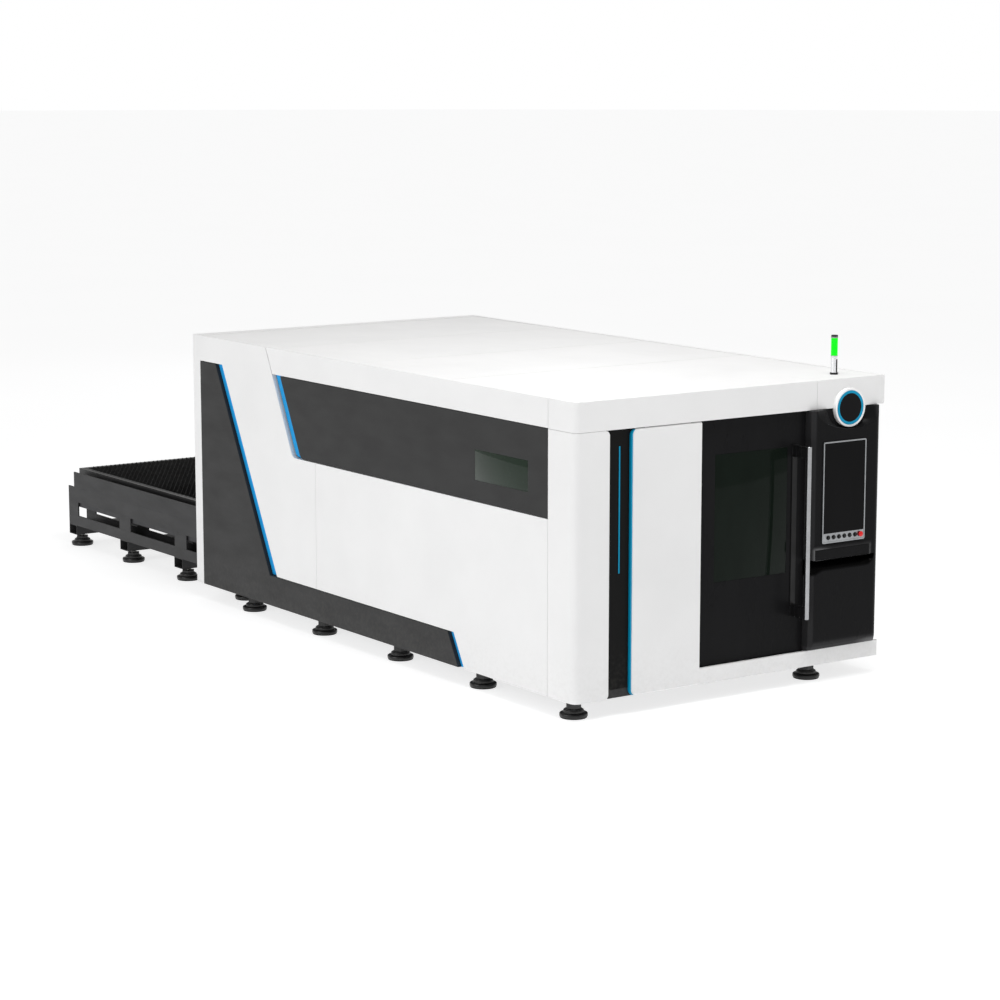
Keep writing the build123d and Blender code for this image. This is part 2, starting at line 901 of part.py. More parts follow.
with BuildPart() as door_handle_mounts:
    block(
        (bar_x - handle_plate_width / 2, bar_x + handle_plate_width / 2),
        (plate_front, leaf_y[0]),
        bar_z,
    )
    for z in standoff_zs:
        for step in range(3):
            high_y = plate_front - step * (block_length + standoff_neck)
            block(
                (bar_x - standoff_width / 2, bar_x + standoff_width / 2),
                (high_y - block_length, high_y),
                (z - standoff_height / 2, z + standoff_height / 2),
            )
        block(
            (bar_x - standoff_width / 3, bar_x + standoff_width / 3),
            (bar_y, plate_front),
            (z - standoff_height / 3, z + standoff_height / 3),
        )
    with BuildSketch(Plane.XY.offset(bar_z[0])):
        with Locations((bar_x, bar_y)):
            Circle(handle_diameter / 2 + slide_gap)
    extrude(amount=handle_length, mode=Mode.SUBTRACT)
save(door_handle_mounts, "door_handle_mounts")

with BuildPart() as door_handle_bar:
    with BuildSketch(Plane.XY.offset(bar_z[0])):
        with Locations((bar_x, bar_y)):
            Circle(handle_diameter / 2)
    extrude(amount=handle_length)
    chamfer(door_handle_bar.edges().filter_by(GeomType.CIRCLE), bar_end_chamfer)
save(door_handle_bar, "door_handle_bar")


# Left side. Each line below gives the Y of a slanted edge at a height.
def band_edge(z):
    """Front edge of the white panel along the dark window band."""
    return front + band_rear_at_bottom + (z - band_bottom) * band_slope


def field_edge(z):
    """Rear edge of the white panel along the dark rear field."""
    return front + rear_field_bottom_y + (z - skirt_top) * rear_field_slope


def skirt_edge(z):
    """Lower edge of the white panel where the skirt ends."""
    return front + skirt_front_y + (z - floor_gap) * skirt_slope


def nearest_corner(sketch, y, z):
    """Corner of a sketch drawn in Y and Z that lies nearest to a point."""
    return sketch.vertices().sort_by_distance((y, z, 0))[0]


with BuildPart() as side_panels_left:
    with BuildSketch(facing_right(left)) as stroke:
        with BuildLine():
            Polyline(
                (rear_strip_start, machine_height),
                (band_edge(machine_height) + half_seam, machine_height),
                (band_edge(band_bottom), band_bottom),
                (side_panel_start, band_bottom),
                (side_panel_start, floor_gap),
                (skirt_edge(floor_gap), floor_gap),
                (skirt_edge(skirt_top), skirt_top + half_seam),
                (field_edge(skirt_top), skirt_top + half_seam),
                (field_edge(cap_bottom), cap_bottom),
                (rear_strip_start, cap_bottom),
                close=True,
            )
        make_face()
        fillet(nearest_corner(stroke, band_edge(band_bottom), band_bottom), band_corner_radius)
    extrude(amount=side_panel)
    for z_limits in ((skirt_top, band_bottom), (floor_gap, skirt_top)):
        block(
            (left, left + seam_depth),
            (front + side_seam_ys[1] - half_seam / 2, front + side_seam_ys[1] + half_seam / 2),
            z_limits,
            mode=Mode.SUBTRACT,
        )
    with BuildSketch(facing_right(left)):
        with BuildLine():
            Polyline(
                (side_panel_start, cap_bottom + half_seam),
                (band_edge(cap_bottom) - seam, cap_bottom + half_seam),
                (band_edge(machine_height) - seam, machine_height),
                (side_panel_start, machine_height),
                close=True,
            )
        make_face()
    extrude(amount=side_panel)
save(side_panels_left, "side_panels_left")

side_window_y = (front + side_window_start, front + side_window_start + side_window_length)
side_window_top = machine_height - side_window_drop
side_window_z = (side_window_top - side_window_height, side_window_top)
with BuildPart() as dark_panels:
    with BuildSketch(facing_right(left)) as band:
        with BuildLine():
            Polyline(
                (side_panel_start, band_bottom + seam),
                (band_edge(band_bottom + seam) - band_groove, band_bottom + seam),
                (band_edge(panel_top) - band_groove, panel_top),
                (side_panel_start, panel_top),
                close=True,
            )
        make_face()
        fillet(
            nearest_corner(band, band_edge(band_bottom) - band_groove, band_bottom),
            band_corner_radius,
        )
    extrude(amount=side_panel)
    block(
        (left, left + side_panel),
        side_window_y,
        side_window_z,
        mode=Mode.SUBTRACT,
    )
    with BuildSketch(facing_right(left)):
        with BuildLine():
            Polyline(
                (field_edge(cap_bottom - seam) + rear_groove, cap_bottom - seam),
                (field_edge(skirt_top - half_seam) + rear_groove, skirt_top - half_seam),
                (skirt_edge(skirt_top - half_seam) + skirt_groove, skirt_top - half_seam),
                (skirt_edge(floor_gap) + skirt_groove, floor_gap),
                (rear_strip_start, floor_gap),
                (rear_strip_start, cap_bottom - seam),
                close=True,
            )
        make_face()
    extrude(amount=side_panel)
    block(
        (right - side_panel, right),
        (side_start, rear_strip_start),
        (floor_gap, skirt_top - half_seam),
    )
save(dark_panels, "dark_panels")

with BuildPart() as side_window:
    block(
        (left + side_window_depth, left + side_window_depth + window_glass),
        side_window_y,
        side_window_z,
    )
save(side_window, "side_window")


def groove_floor(x, margin):
    """Floors of the three slanted grooves at x, set in from the white panel by a margin."""
    with BuildSketch(facing_right(x)) as floors:
        for edge, width, z_low, z_high in grooves:
            near = margin if width > 0 else -margin
            with BuildLine():
                Polyline(
                    (edge(z_low) + near, z_low),
                    (edge(z_high) + near, z_high),
                    (edge(z_high) + width, z_high),
                    (edge(z_low) + width, z_low),
                    close=True,
                )
            make_face()
        fillet(
            nearest_corner(floors, band_edge(band_bottom) - margin, band_bottom),
            band_corner_radius,
        )
    return floors.sketch


grooves = (
    (band_edge, -band_groove, band_bottom + seam, panel_top),
    (field_edge, rear_groove, skirt_top + half_seam, cap_bottom - seam),
    (skirt_edge, skirt_groove, floor_gap, skirt_top - half_seam),
)
plate_face = left + side_panel - groove_plate
with BuildPart() as groove_plates:
    extrude(groove_floor(plate_face, 0), amount=groove_plate)
save(groove_plates, "groove_plates")

with BuildPart() as accent_strips:
    extrude(groove_floor(plate_face - accent_thickness, accent_margin), amount=accent_thickness)
save(accent_strips, "accent_strips")

# Right side: plain panels in three lengths, and a filler beside the console
right_seams = [side_start, *[front + y for y in side_seam_ys], rear_strip_start]
with BuildPart() as side_panels_right:
    for low, high in zip(right_seams, right_seams[1:]):
        block(
            (right - side_panel, right),
            (low + half_seam, high - half_seam),
            (skirt_top + half_seam, machine_height),
        )
    block(
        (console_right - side_panel, console_right),
        (console_back, side_start),
        (front_tube_top, panel_top),
    )
save(side_panels_right, "side_panels_right")

# Roof in four sheets
roof_seams = [side_start, *[front + y for y in roof_seam_ys], rear_strip_start]
with BuildPart() as roof_panels:
    for low, high in zip(roof_seams, roof_seams[1:]):
        block(
            (left + side_panel + cap_gap, right - side_panel - cap_gap),
            (low + half_seam, high - half_seam),
            (roof_bottom, machine_height - cap_gap),
        )
save(roof_panels, "roof_panels")

# Rear: white surround, and a dark wall that leaves a passage for the pallets
with BuildPart() as rear_frame:
    block((left, right), (rear_strip_start, rear), (floor_gap, machine_height))
    block(
        (left + rear_strip_width, right - rear_strip_width),
        (rear_strip_start, rear),
        (floor_gap, roof_bottom),
        mode=Mode.SUBTRACT,
    )
save(rear_frame, "rear_frame")

with BuildPart() as rear_wall:
    with BuildSketch(facing_front(rear - rear_wall_inset)):
        with BuildLine():
            Polyline(
                (left + rear_strip_width, floor_gap),
                (table_web_left[0] - passage_margin, floor_gap),
                (table_web_left[0] - passage_margin, passage_top),
                (table_web_right[1] + passage_margin, passage_top),
                (table_web_right[1] + passage_margin, floor_gap),
                (right - rear_strip_width, floor_gap),
                (right - rear_strip_width, roof_bottom),
                (left + rear_strip_width, roof_bottom),
                close=True,
            )
        make_face()
    extrude(amount=rear_wall_thickness)
save(rear_wall, "rear_wall")

# Exchange table: slotted side frames, two webs deep, on cross tubes
level_tops = (pallet_rail_top, pallet_rail_top - level_drop)
slot_pitch = (table_length - slot_end_margin) / slot_count
slot_length = slot_pitch - slot_rib
slot_ys = [table_end - slot_first_inset - slot_pitch * i for i in range(slot_count)]
table_y = (table_low_y, table_end)
slot_top = slot_bottom + slot_height
notch_z = table_top - table_notch_height
inner_web_top = level_tops[1]
inner_slot_top = inner_web_top - inner_web_strip
rib_lows = [table_low_y, *reversed(slot_ys)]
rib_highs = [*[y - slot_length for y in reversed(slot_ys)], table_end]


def slotted_web(x_limits, z_low, z_slot_top, z_high):
    """Add a web as two long strips joined by ribs between its slots."""
    block(x_limits, table_y, (z_low, slot_bottom))
    for rib in zip(rib_lows, rib_highs):
        block(x_limits, rib, (slot_bottom + weld_gap, z_slot_top - weld_gap))
    block(x_limits, table_y, (z_slot_top, z_high))


with BuildPart() as table_side_frames:
    for web, inward in ((table_web_left, 1), (table_web_right, -1)):
        face = web[0] if inward > 0 else web[1]
        inner_face = face + inward * table_frame_depth
        inner_web = sorted((inner_face, inner_face - inward * table_web))
        flange = sorted((face + inward * (table_web + weld_gap), inner_face))
        slotted_web(web, table_bottom, slot_top, notch_z)
        block(web, (table_low_y, table_end - table_notch_length), (notch_z + weld_gap, table_top))
        block(flange, table_y, (table_bottom, table_bottom + table_web))
        slotted_web(inner_web, table_bottom + table_web + weld_gap, inner_slot_top, inner_web_top)
save(table_side_frames, "table_side_frames")

with BuildPart() as table_cross_tubes:
    for y in table_tube_ys:
        limits_x = (table_web_left[0], table_web_right[1])
        limits_y = (y - table_tube_width / 2, y + table_tube_width / 2)
        limits_z = (table_tube_bottom, table_bottom)
        block(limits_x, limits_y, limits_z)
        block(
            limits_x,
            (limits_y[0] + table_tube_wall, limits_y[1] - table_tube_wall),
            (limits_z[0] + table_tube_wall, limits_z[1] - table_tube_wall),
            mode=Mode.SUBTRACT,
        )
save(table_cross_tubes, "table_cross_tubes")

# Rails for the two pallet levels, in the bed and on along the table
bed_rail_start = table_end - pallet_end_inset - pallet_travel - pallet_length - rail_lead
rail_split = table_low_y - weld_gap


def pallet_rails(root_left, root_right, y_low, y_high):
    """Angle rails on both sides and both levels, fixed to faces at the two root positions."""
    reach = left_beam[1] + pallet_rail_width - root_left
    for top in level_tops:
        for root, inward in ((root_left, 1), (root_right, -1)):
            block(
                sorted((root, root + inward * reach)),
                (y_low, y_high),
                (top - pallet_rail_thickness, top),
            )
            block(
                sorted((root, root + inward * pallet_rail_thickness)),
                (y_low, y_high),
                (top - pallet_rail_drop, top),
            )


with BuildPart() as bed_rails:
    pallet_rails(left_beam[1], right_beam[0], bed_rail_start, rail_split)
    for beam in (left_beam, right_beam):
        rail_x = sum(beam) / 2
        block(
            (rail_x - rail_width / 2, rail_x + rail_width / 2),
            (bed_low_y + rail_end_gap, bed_high_y - rail_end_gap),
            (bed_beam_top, bed_beam_top + rail_height),
        )
save(bed_rails, "bed_rails")

with BuildPart() as table_rails:
    pallet_rails(
        table_web_left[1], table_web_right[0], table_low_y, table_end - table_notch_length
    )
save(table_rails, "table_rails")

# Pallets: side and end rails, toothed slats and two wheel sets each
pallet_x = (table_web_left[0] + pallet_side_gap, table_web_right[1] - pallet_side_gap)
slat_x = (pallet_x[0] + pallet_frame_width, pallet_x[1] - pallet_frame_width)
outer_pallet_end = table_end - pallet_end_inset
tooth_pitch = (slat_x[1] - slat_x[0]) / tooth_count
wheel_back = wheel_inset + wheel_width + weld_gap
axle_x = (table_web_left[1] + wheel_back, table_web_right[0] - wheel_back)


def pallet_pieces(name, rail_top, y_high):
    """Write the frame, the slats and the two wheel sets of one pallet."""
    y_low = y_high - pallet_length
    frame_bottom = rail_top + pallet_frame_lift
    frame_z = (frame_bottom, frame_bottom + pallet_frame_height)
    axle_z = rail_top + wheel_radius + slide_gap
    axle_ys = (y_low + axle_end_distance, y_high - axle_end_distance)
    slat_low = frame_bottom + slat_bottom_lift
    slat_high = slat_low + slat_height
    slat_span = pallet_length - 2 * pallet_frame_width - 2 * slat_end_margin
    slat_total = int(slat_span // slat_pitch) + 1
    first_slat = (y_low + y_high) / 2 - slat_pitch * (slat_total - 1) / 2

    with BuildPart() as frame:
        for side in ((pallet_x[0], slat_x[0]), (slat_x[1], pallet_x[1])):
            block(side, (y_low, y_high), frame_z)
        for end in ((y_low, y_low + pallet_frame_width), (y_high - pallet_frame_width, y_high)):
            block((slat_x[0] + weld_gap, slat_x[1] - weld_gap), end, frame_z)
        for y in axle_ys:
            with BuildSketch(facing_right(pallet_x[0])):
                with Locations((y, axle_z)):
                    Circle(axle_radius + bore_clearance)
            extrude(amount=pallet_x[1] - pallet_x[0], mode=Mode.SUBTRACT)
    save(frame, f"{name}_pallet_frame")

    with BuildPart() as slats:
        slat_planes = [facing_front(first_slat + slat_pitch * i) for i in range(slat_total)]
        with BuildSketch(*slat_planes):
            with BuildLine():
                teeth = [
                    (slat_x[0] + weld_gap, slat_low),
                    (slat_x[0] + weld_gap, slat_high - tooth_depth),
                ]
                for i in range(tooth_count):
                    tip_x = slat_x[0] + tooth_pitch * (i + 0.5)
                    teeth.append((tip_x, slat_high))
                    if i < tooth_count - 1:
                        teeth.append((tip_x + tooth_pitch / 2, slat_high - tooth_depth))
                teeth.append((slat_x[1] - weld_gap, slat_high - tooth_depth))
                teeth.append((slat_x[1] - weld_gap, slat_low))
                Polyline(*teeth, close=True)
            make_face()
        extrude(amount=slat_thickness)
    save(slats, f"{name}_pallet_slats")

    for place, y in zip(("front", "rear"), axle_ys):
        wheel_planes = (
            facing_right(table_web_left[1] + wheel_inset),
            facing_right(table_web_right[0] - wheel_inset - wheel_width),
        )
        with BuildPart() as wheel_set:
            with BuildSketch(*wheel_planes):
                with Locations((y, axle_z)):
                    Circle(wheel_radius)
            extrude(amount=wheel_width)
            with BuildSketch(facing_right(axle_x[0])):
                with Locations((y, axle_z)):
                    Circle(axle_radius)
            extrude(amount=axle_x[1] - axle_x[0])
        save(wheel_set, f"{name}_wheel_set_{place}")


pallet_pieces("upper", level_tops[0], outer_pallet_end)
pallet_pieces("lower", level_tops[1], outer_pallet_end - pallet_travel)

# Gantry: beam and trucks on the bed rails
gantry_y = front + gantry_rest
rail_top = bed_beam_top + rail_height
truck_z = (bed_beam_top + truck_lift, bed_beam_top + truck_lift + truck_height)
beam_y = (gantry_y - gantry_depth / 2, gantry_y + gantry_depth / 2)
beam_z = (truck_z[1], truck_z[1] + gantry_height)
beam_x = (left_beam[0], right_beam[1])
cross_rail_zs = (beam_z[0] + cross_rail_inset, beam_z[1] - cross_rail_inset)
cross_rail_front = beam_y[0] - cross_rail_reach
cross_rail_x = (
    beam_x[0] + truck_width + cross_rail_end_gap,
    beam_x[1] - truck_width - cross_rail_end_gap,
)

with BuildPart() as gantry_beam:
    block(beam_x, beam_y, beam_z)
    for beam in (left_beam, right_beam):
        truck_x = sum(beam) / 2
        block(
            (truck_x - truck_width / 2, truck_x + truck_width / 2),
            (gantry_y - truck_length / 2, gantry_y + truck_length / 2),
            truck_z,
        )
        block(
            (truck_x - rail_width / 2 - slide_gap, truck_x + rail_width / 2 + slide_gap),
            (gantry_y - truck_length / 2, gantry_y + truck_length / 2),
            (truck_z[0], rail_top + slide_gap),
            mode=Mode.SUBTRACT,
        )
        for side in (-1, 1):
            with BuildSketch(facing_right(truck_x - truck_width / 2)):
                with BuildLine():
                    Polyline(
                        (gantry_y + side * gantry_depth / 2, truck_z[1]),
                        (gantry_y + side * truck_length / 2, truck_z[1]),
                        (gantry_y + side * gantry_depth / 2, beam_z[1] - gusset_drop),
                        close=True,
                    )
                make_face()
            extrude(amount=truck_width)
    for z in cross_rail_zs:
        block(
            cross_rail_x,
            (cross_rail_front, beam_y[0]),
            (z - cross_rail_size / 2, z + cross_rail_size / 2),
        )
save(gantry_beam, "gantry_beam")

# Carriage on the beam, with upright rails for the head
carriage_x = (bed_middle - carriage_width / 2, bed_middle + carriage_width / 2)
carriage_y = (beam_y[0] - carriage_gap - carriage_thickness, beam_y[0] - carriage_gap)
plate_y = (carriage_y[0] - carriage_plate, carriage_y[0])
plate_z = (beam_z[0] - carriage_plate_drop, beam_z[1] + carriage_plate_rise)
lift_rail_xs = (bed_middle - lift_rail_spread / 2, bed_middle + lift_rail_spread / 2)
lift_rail_front = plate_y[0] - lift_rail_reach

with BuildPart() as cross_carriage:
    block(
        carriage_x,
        carriage_y,
        (beam_z[0] + carriage_block_inset, beam_z[1] - carriage_block_inset),
    )
    for z in cross_rail_zs:
        block(
            carriage_x,
            (cross_rail_front - slide_gap, beam_y[0]),
            (z - cross_rail_size / 2 - slide_gap, z + cross_rail_size / 2 + slide_gap),
            mode=Mode.SUBTRACT,
        )
    block(carriage_x, plate_y, plate_z)
    for x in lift_rail_xs:
        block(
            (x - lift_rail_width / 2, x + lift_rail_width / 2),
            (lift_rail_front, plate_y[0]),
            plate_z,
        )
save(cross_carriage, "cross_carriage")

# Lifting slide and cutting head
slide_x = (bed_middle - slide_width / 2, bed_middle + slide_width / 2)
slide_y = (plate_y[0] - carriage_gap - slide_thickness, plate_y[0] - carriage_gap)
slide_low = plate_z[0] + slide_rest_lift
with BuildPart() as head_slide:
    block(slide_x, slide_y, (slide_low, slide_low + slide_height))
    for x in lift_rail_xs:
        block(
            (x - lift_rail_width / 2 - slide_gap, x + lift_rail_width / 2 + slide_gap),
            (lift_rail_front - slide_gap, plate_y[0]),
            (slide_low, slide_low + slide_height),
            mode=Mode.SUBTRACT,
        )
save(head_slide, "head_slide")

head_y = slide_y[0] - head_width / 2
head_bottom = slide_low + head_lift_gap
with BuildPart() as cutting_head:
    with Locations((bed_middle, head_y, head_bottom + head_height / 2)):
        Box(head_width, head_width, head_height)
    chamfer(cutting_head.edges().filter_by(Axis.Z).group_by(Axis.Y)[0], head_chamfer)
    with BuildSketch(Plane.XZ.offset(-head_y)):
        with BuildLine():
            Polyline(
                (bed_middle, head_bottom),
                (bed_middle + lens_tube_radius, head_bottom),
                (bed_middle + lens_tube_radius, head_bottom - lens_tube_length),
                (bed_middle + nozzle_collar_radius, nozzle_tip_z + nozzle_height),
                (bed_middle + nozzle_neck_radius, nozzle_tip_z + nozzle_cone_height),
                (bed_middle + nozzle_tip_radius, nozzle_tip_z),
                (bed_middle, nozzle_tip_z),
                close=True,
            )
        make_face()
    revolve(axis=Axis((bed_middle, head_y, 0), (0, 0, 1)))
save(cutting_head, "cutting_head")

# Signal tower on the cap
tower_middle = (right - tower_inset, front + tower_y)
tower_base_top = machine_height + tower_base_height
tower_body_top = tower_base_top + tower_body_height
tower_lens_top = tower_body_top + tower_lens_height


def tower_ring(radius, z_low, height):
    """Add one round section of the signal tower to the part that is being built."""
    with Locations((tower_middle[0], tower_middle[1], z_low + height / 2)):
        Cylinder(radius, height)


with BuildPart() as tower_base:
    tower_ring(tower_base_radius, machine_height, tower_base_height)
    tower_ring(tower_radius, tower_lens_top, tower_cap_height)
save(tower_base, "tower_base")
with BuildPart() as tower_body:
    tower_ring(tower_radius - tower_body_step, tower_base_top, tower_body_height)
save(tower_body, "tower_body")
with BuildPart() as tower_lens:
    tower_ring(tower_radius, tower_body_top, tower_lens_height)
save(tower_lens, "tower_lens")
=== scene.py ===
import logging
import math
from collections.abc import Iterable, Sequence
from dataclasses import dataclass, field
from enum import Enum, IntEnum

import bmesh
import bpy
from mathutils import Matrix, Vector


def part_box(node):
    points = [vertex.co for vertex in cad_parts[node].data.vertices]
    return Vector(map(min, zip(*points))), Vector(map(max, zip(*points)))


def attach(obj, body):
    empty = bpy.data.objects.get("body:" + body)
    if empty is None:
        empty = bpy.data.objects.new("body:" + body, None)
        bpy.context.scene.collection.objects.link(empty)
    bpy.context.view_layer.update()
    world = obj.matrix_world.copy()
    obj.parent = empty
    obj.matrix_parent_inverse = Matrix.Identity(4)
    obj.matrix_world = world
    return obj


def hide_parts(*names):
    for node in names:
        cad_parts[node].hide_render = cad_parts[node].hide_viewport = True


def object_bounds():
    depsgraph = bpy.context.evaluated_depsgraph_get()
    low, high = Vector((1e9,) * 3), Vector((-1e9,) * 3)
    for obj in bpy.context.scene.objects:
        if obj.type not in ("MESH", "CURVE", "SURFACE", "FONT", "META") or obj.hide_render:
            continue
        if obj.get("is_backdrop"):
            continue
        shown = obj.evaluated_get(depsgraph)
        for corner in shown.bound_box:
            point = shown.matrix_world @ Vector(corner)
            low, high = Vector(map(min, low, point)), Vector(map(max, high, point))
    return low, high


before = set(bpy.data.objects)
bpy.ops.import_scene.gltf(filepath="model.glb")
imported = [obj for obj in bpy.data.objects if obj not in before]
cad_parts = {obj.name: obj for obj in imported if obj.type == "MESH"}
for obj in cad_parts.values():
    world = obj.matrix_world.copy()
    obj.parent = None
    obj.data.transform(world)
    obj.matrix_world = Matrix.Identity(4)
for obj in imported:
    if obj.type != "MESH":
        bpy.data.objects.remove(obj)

LOG = logging.getLogger("laser_cutter")
Colour = tuple[float, float, float, float]
RGB = tuple[int, int, int]
Point = tuple[float, float, float]
Span = tuple[float, float]
Offsets = tuple[tuple[float, float], ...]

# Mesh value that carries the console's painted shade and painted highlights, and its value on flat
# faces and on edges with a painted highlight.
PAINTED_LIGHT_ATTRIBUTE = "tone"
TONE_FLAT, EDGE_HIGHLIGHT_TONE = 0.25, 0.5
# Most values of a cloudy pattern lie in this span.
MOST: Span = (0.3, 0.7)
# Added to a paler tone, so that a black gets paler too.
LIFT = 0.002
WHITE_LIGHT: RGB = (255, 255, 255)
UP, TO_OPERATOR = Vector((0, 0, 1)), Vector((0, -1, 0))
ORIGIN: Point = (0.0, 0.0, 0.0)
BUTTONS = tuple(f"control_button_{number}" for number in range(1, 7))


def srgb(red: int, green: int, blue: int) -> Colour:
    """Turn a colour as seen on a screen into the linear values that shaders work in.

    Args:
        red: Red from 0 to 255.
        green: Green from 0 to 255.
        blue: Blue from 0 to 255.

    Returns:
        The linear colour with full opacity.
    """

    def linear(value: int) -> float:
        """Undo the screen's curve for one channel."""
        share = value / 255
        return share / 12.92 if share <= 0.04045 else ((share + 0.055) / 1.055) ** 2.4

    return (linear(red), linear(green), linear(blue), 1.0)


def add_object(name: str, data: bpy.types.ID) -> bpy.types.Object:
    """Put a new object with its data into the scene."""
    made = bpy.data.objects.new(name, data)
    bpy.context.scene.collection.objects.link(made)
    return made


def around(value: float, reach: Span) -> Span:
    """Span from a little under a value to a little over it."""
    return value - reach[0], value + reach[1]


def held(value: float) -> float:
    """Hold a value between 0 and 1."""
    return min(1.0, max(0.0, value))


def corner(radius: float, along: float, offsets: Offsets) -> list[Span]:
    """Shape a corner of a turned profile by offsets from where its sides would meet."""
    return [(radius + out, along + up) for out, up in offsets]


def quarter(steps: int, count: int) -> list[float]:
    """Angles of a quarter turn in equal steps, as many of them as are asked for."""
    return [math.pi / 2 * step / steps for step in range(count)]


class Graph:
    """A node tree that is written one node at a time."""

    def __init__(self, tree: bpy.types.NodeTree) -> None:
        """Keep the tree that the nodes go into."""
        self.tree = tree

    def add(
        self, kind: str, sockets: dict[str | int, object] | None = None, **settings: object
    ) -> bpy.types.Node:
        """Add a node, with its settings made and its inputs set or linked.

        Args:
            kind: Blender's type name of the node.
            sockets: Values or output sockets for the node's inputs, by name or number.
            **settings: Properties of the node itself.

        Returns:
            The new node.
        """
        node = self.tree.nodes.new(kind)
        for name, value in settings.items():
            setattr(node, name, value)
        for key, value in (sockets or {}).items():
            self.feed(node.inputs[key], value)
        return node

    def feed(self, socket: bpy.types.NodeSocket, value: object) -> None:
        """Link an input to a node's output, or set it to a plain value."""
        if isinstance(value, bpy.types.NodeSocket):
            self.tree.links.new(value, socket)
        else:
            socket.default_value = value

    def math(self, kind: str, first: object, second: object = 0.0) -> bpy.types.NodeSocket:
        """Add a calculation with two values and return its result."""
        return self.add("ShaderNodeMath", {0: first, 1: second}, operation=kind).outputs[0]

    def blend(self, share: object, low: object, high: object) -> bpy.types.NodeSocket:
        """Mix two colours by a share and return the result."""
        return self.add(
            "ShaderNodeMix", {0: share, 6: low, 7: high}, data_type="RGBA"
        ).outputs[2]

    def spread(
        self, value: object, source: Span, result: Span = (0.0, 1.0)
    ) -> bpy.types.NodeSocket:
        """Stretch a value from one range to another, held at both ends."""
        sockets = {0: value, 1: source[0], 2: source[1], 3: result[0], 4: result[1]}
        return self.add("ShaderNodeMapRange", sockets).outputs[0]


class Clouds(Enum):
    """Cloudy patterns: clouds per metre, finer layers, and factors along X, Y and Z."""

    TINT = (1.7, 4.0)
    DUST = (38.0, 6.0)
    SCUFFS = (9.0, 5.0, (1.0, 0.35, 1.0))
    PEEL = (420.0, 2.0)
    MOULD_FACE = (900.0, 2.0)
    SAND_CASTING = (160.0, 2.0)
    WIPES = (5.0, 6.0, (1.0, 1.0, 0.3))
    WAVES = (7.0, 1.0)
    DRAWN_LINES = (850.0, 2.0, (1.0, 1.0, 0.02))
    STAINS = (14.0, 5.0)
    MILL_SCALE = (24.0, 7.0)
    OXIDE = (11.0, 6.0)
    BLOOM = (30.0, 6.0)
    GRIP = (60.0, 3.0)
    CRUMB = (350.0, 3.0)
    SMEARS = (6.0, 6.0, (1.0, 1.0, 0.4))
    SHEET_WAVES = (4.0, 1.0)
    LENS_CLOUD = (25.0, 3.0, (1.0, 1.0, 0.3))
    LENS_HAZE = (90.0, 3.0)
    LENS_GRAIN = (500.0, 2.0)
    FLOOR = (0.4, 3.0)


class Recipe(Graph):
    """A material's node tree, with the shader in place and the object's own coordinates."""

    def __init__(self, name: str) -> None:
        """Start an empty material of this name."""
        self.material = bpy.data.materials.new(name)
        self.material.use_nodes = True
        super().__init__(self.material.node_tree)
        self.shader = self.tree.nodes["Principled BSDF"]
        self.place = self.add("ShaderNodeTexCoord").outputs["Object"]

    def noise(self, clouds: Clouds) -> bpy.types.NodeSocket:
        """Add a cloudy pattern and return its value from 0 to 1."""
        scale, detail, *stretch = clouds.value
        vector = self.place
        if stretch:
            sockets = {"Vector": vector, "Scale": stretch[0]}
            vector = self.add("ShaderNodeMapping", sockets).outputs[0]
        return self.add(
            "ShaderNodeTexNoise", {"Vector": vector, "Scale": scale, "Detail": detail}
        ).outputs["Fac"]

    def height(self) -> bpy.types.NodeSocket:
        """Return the height above the floor in metres."""
        return self.add("ShaderNodeSeparateXYZ", {0: self.place}).outputs["Z"]

    def surface(self, **values: object) -> None:
        """Set or link the shader's inputs, with underscores for spaces in their names."""
        for key, value in values.items():
            self.feed(self.shader.inputs[key.replace("_", " ")], value)

    def relief(self, pattern: bpy.types.NodeSocket, depth: float, edge: float = 0.0) -> None:
        """Raise the surface by a pattern, over edges that catch the light.

        Args:
            pattern: Height pattern from 0 to 1.
            depth: Height of the relief in metres.
            edge: Radius in metres to which sharp edges look rounded, or 0 for none.
        """
        sockets: dict[str | int, object] = {
            "Height": pattern, "Strength": 1.0, "Distance": depth,
        }
        if edge > 0:
            sockets["Normal"] = self.add("ShaderNodeBevel", {"Radius": edge}, samples=4).outputs[0]
        self.surface(Normal=self.add("ShaderNodeBump", sockets).outputs[0])


class Grain(Enum):
    """How the surface under a paint was made: its texture, and how high that is in metres."""

    POWDER_COAT = (Clouds.PEEL, 0.00010)
    MOULDED = (Clouds.MOULD_FACE, 0.00003)
    CAST = (Clouds.SAND_CASTING, 0.0006)


@dataclass(frozen=True)
class Finish:
    """What every finish has: a name, a colour and a slot in the part's record."""

    name: str
    colour: RGB
    slot: str

    def build(self) -> bpy.types.Material:
        """Make the material, or return it if it is already made."""
        made = bpy.data.materials.get(self.name)
        if made is not None:
            return made
        recipe = Recipe(self.name)
        self.mix(recipe)
        return recipe.material

    def shade(self, factor: float = 1.0, lift: float = 0.0) -> Colour:
        """Return the finish's own colour, deeper or paler by a factor and a lift."""
        channels = srgb(*self.colour)[:3]
        return tuple(min(1.0, channel * factor + lift) for channel in channels) + (1.0,)

    def mix(self, recipe: Recipe) -> None:
        """Fill in the recipe. Each kind of finish has its own."""
        raise NotImplementedError


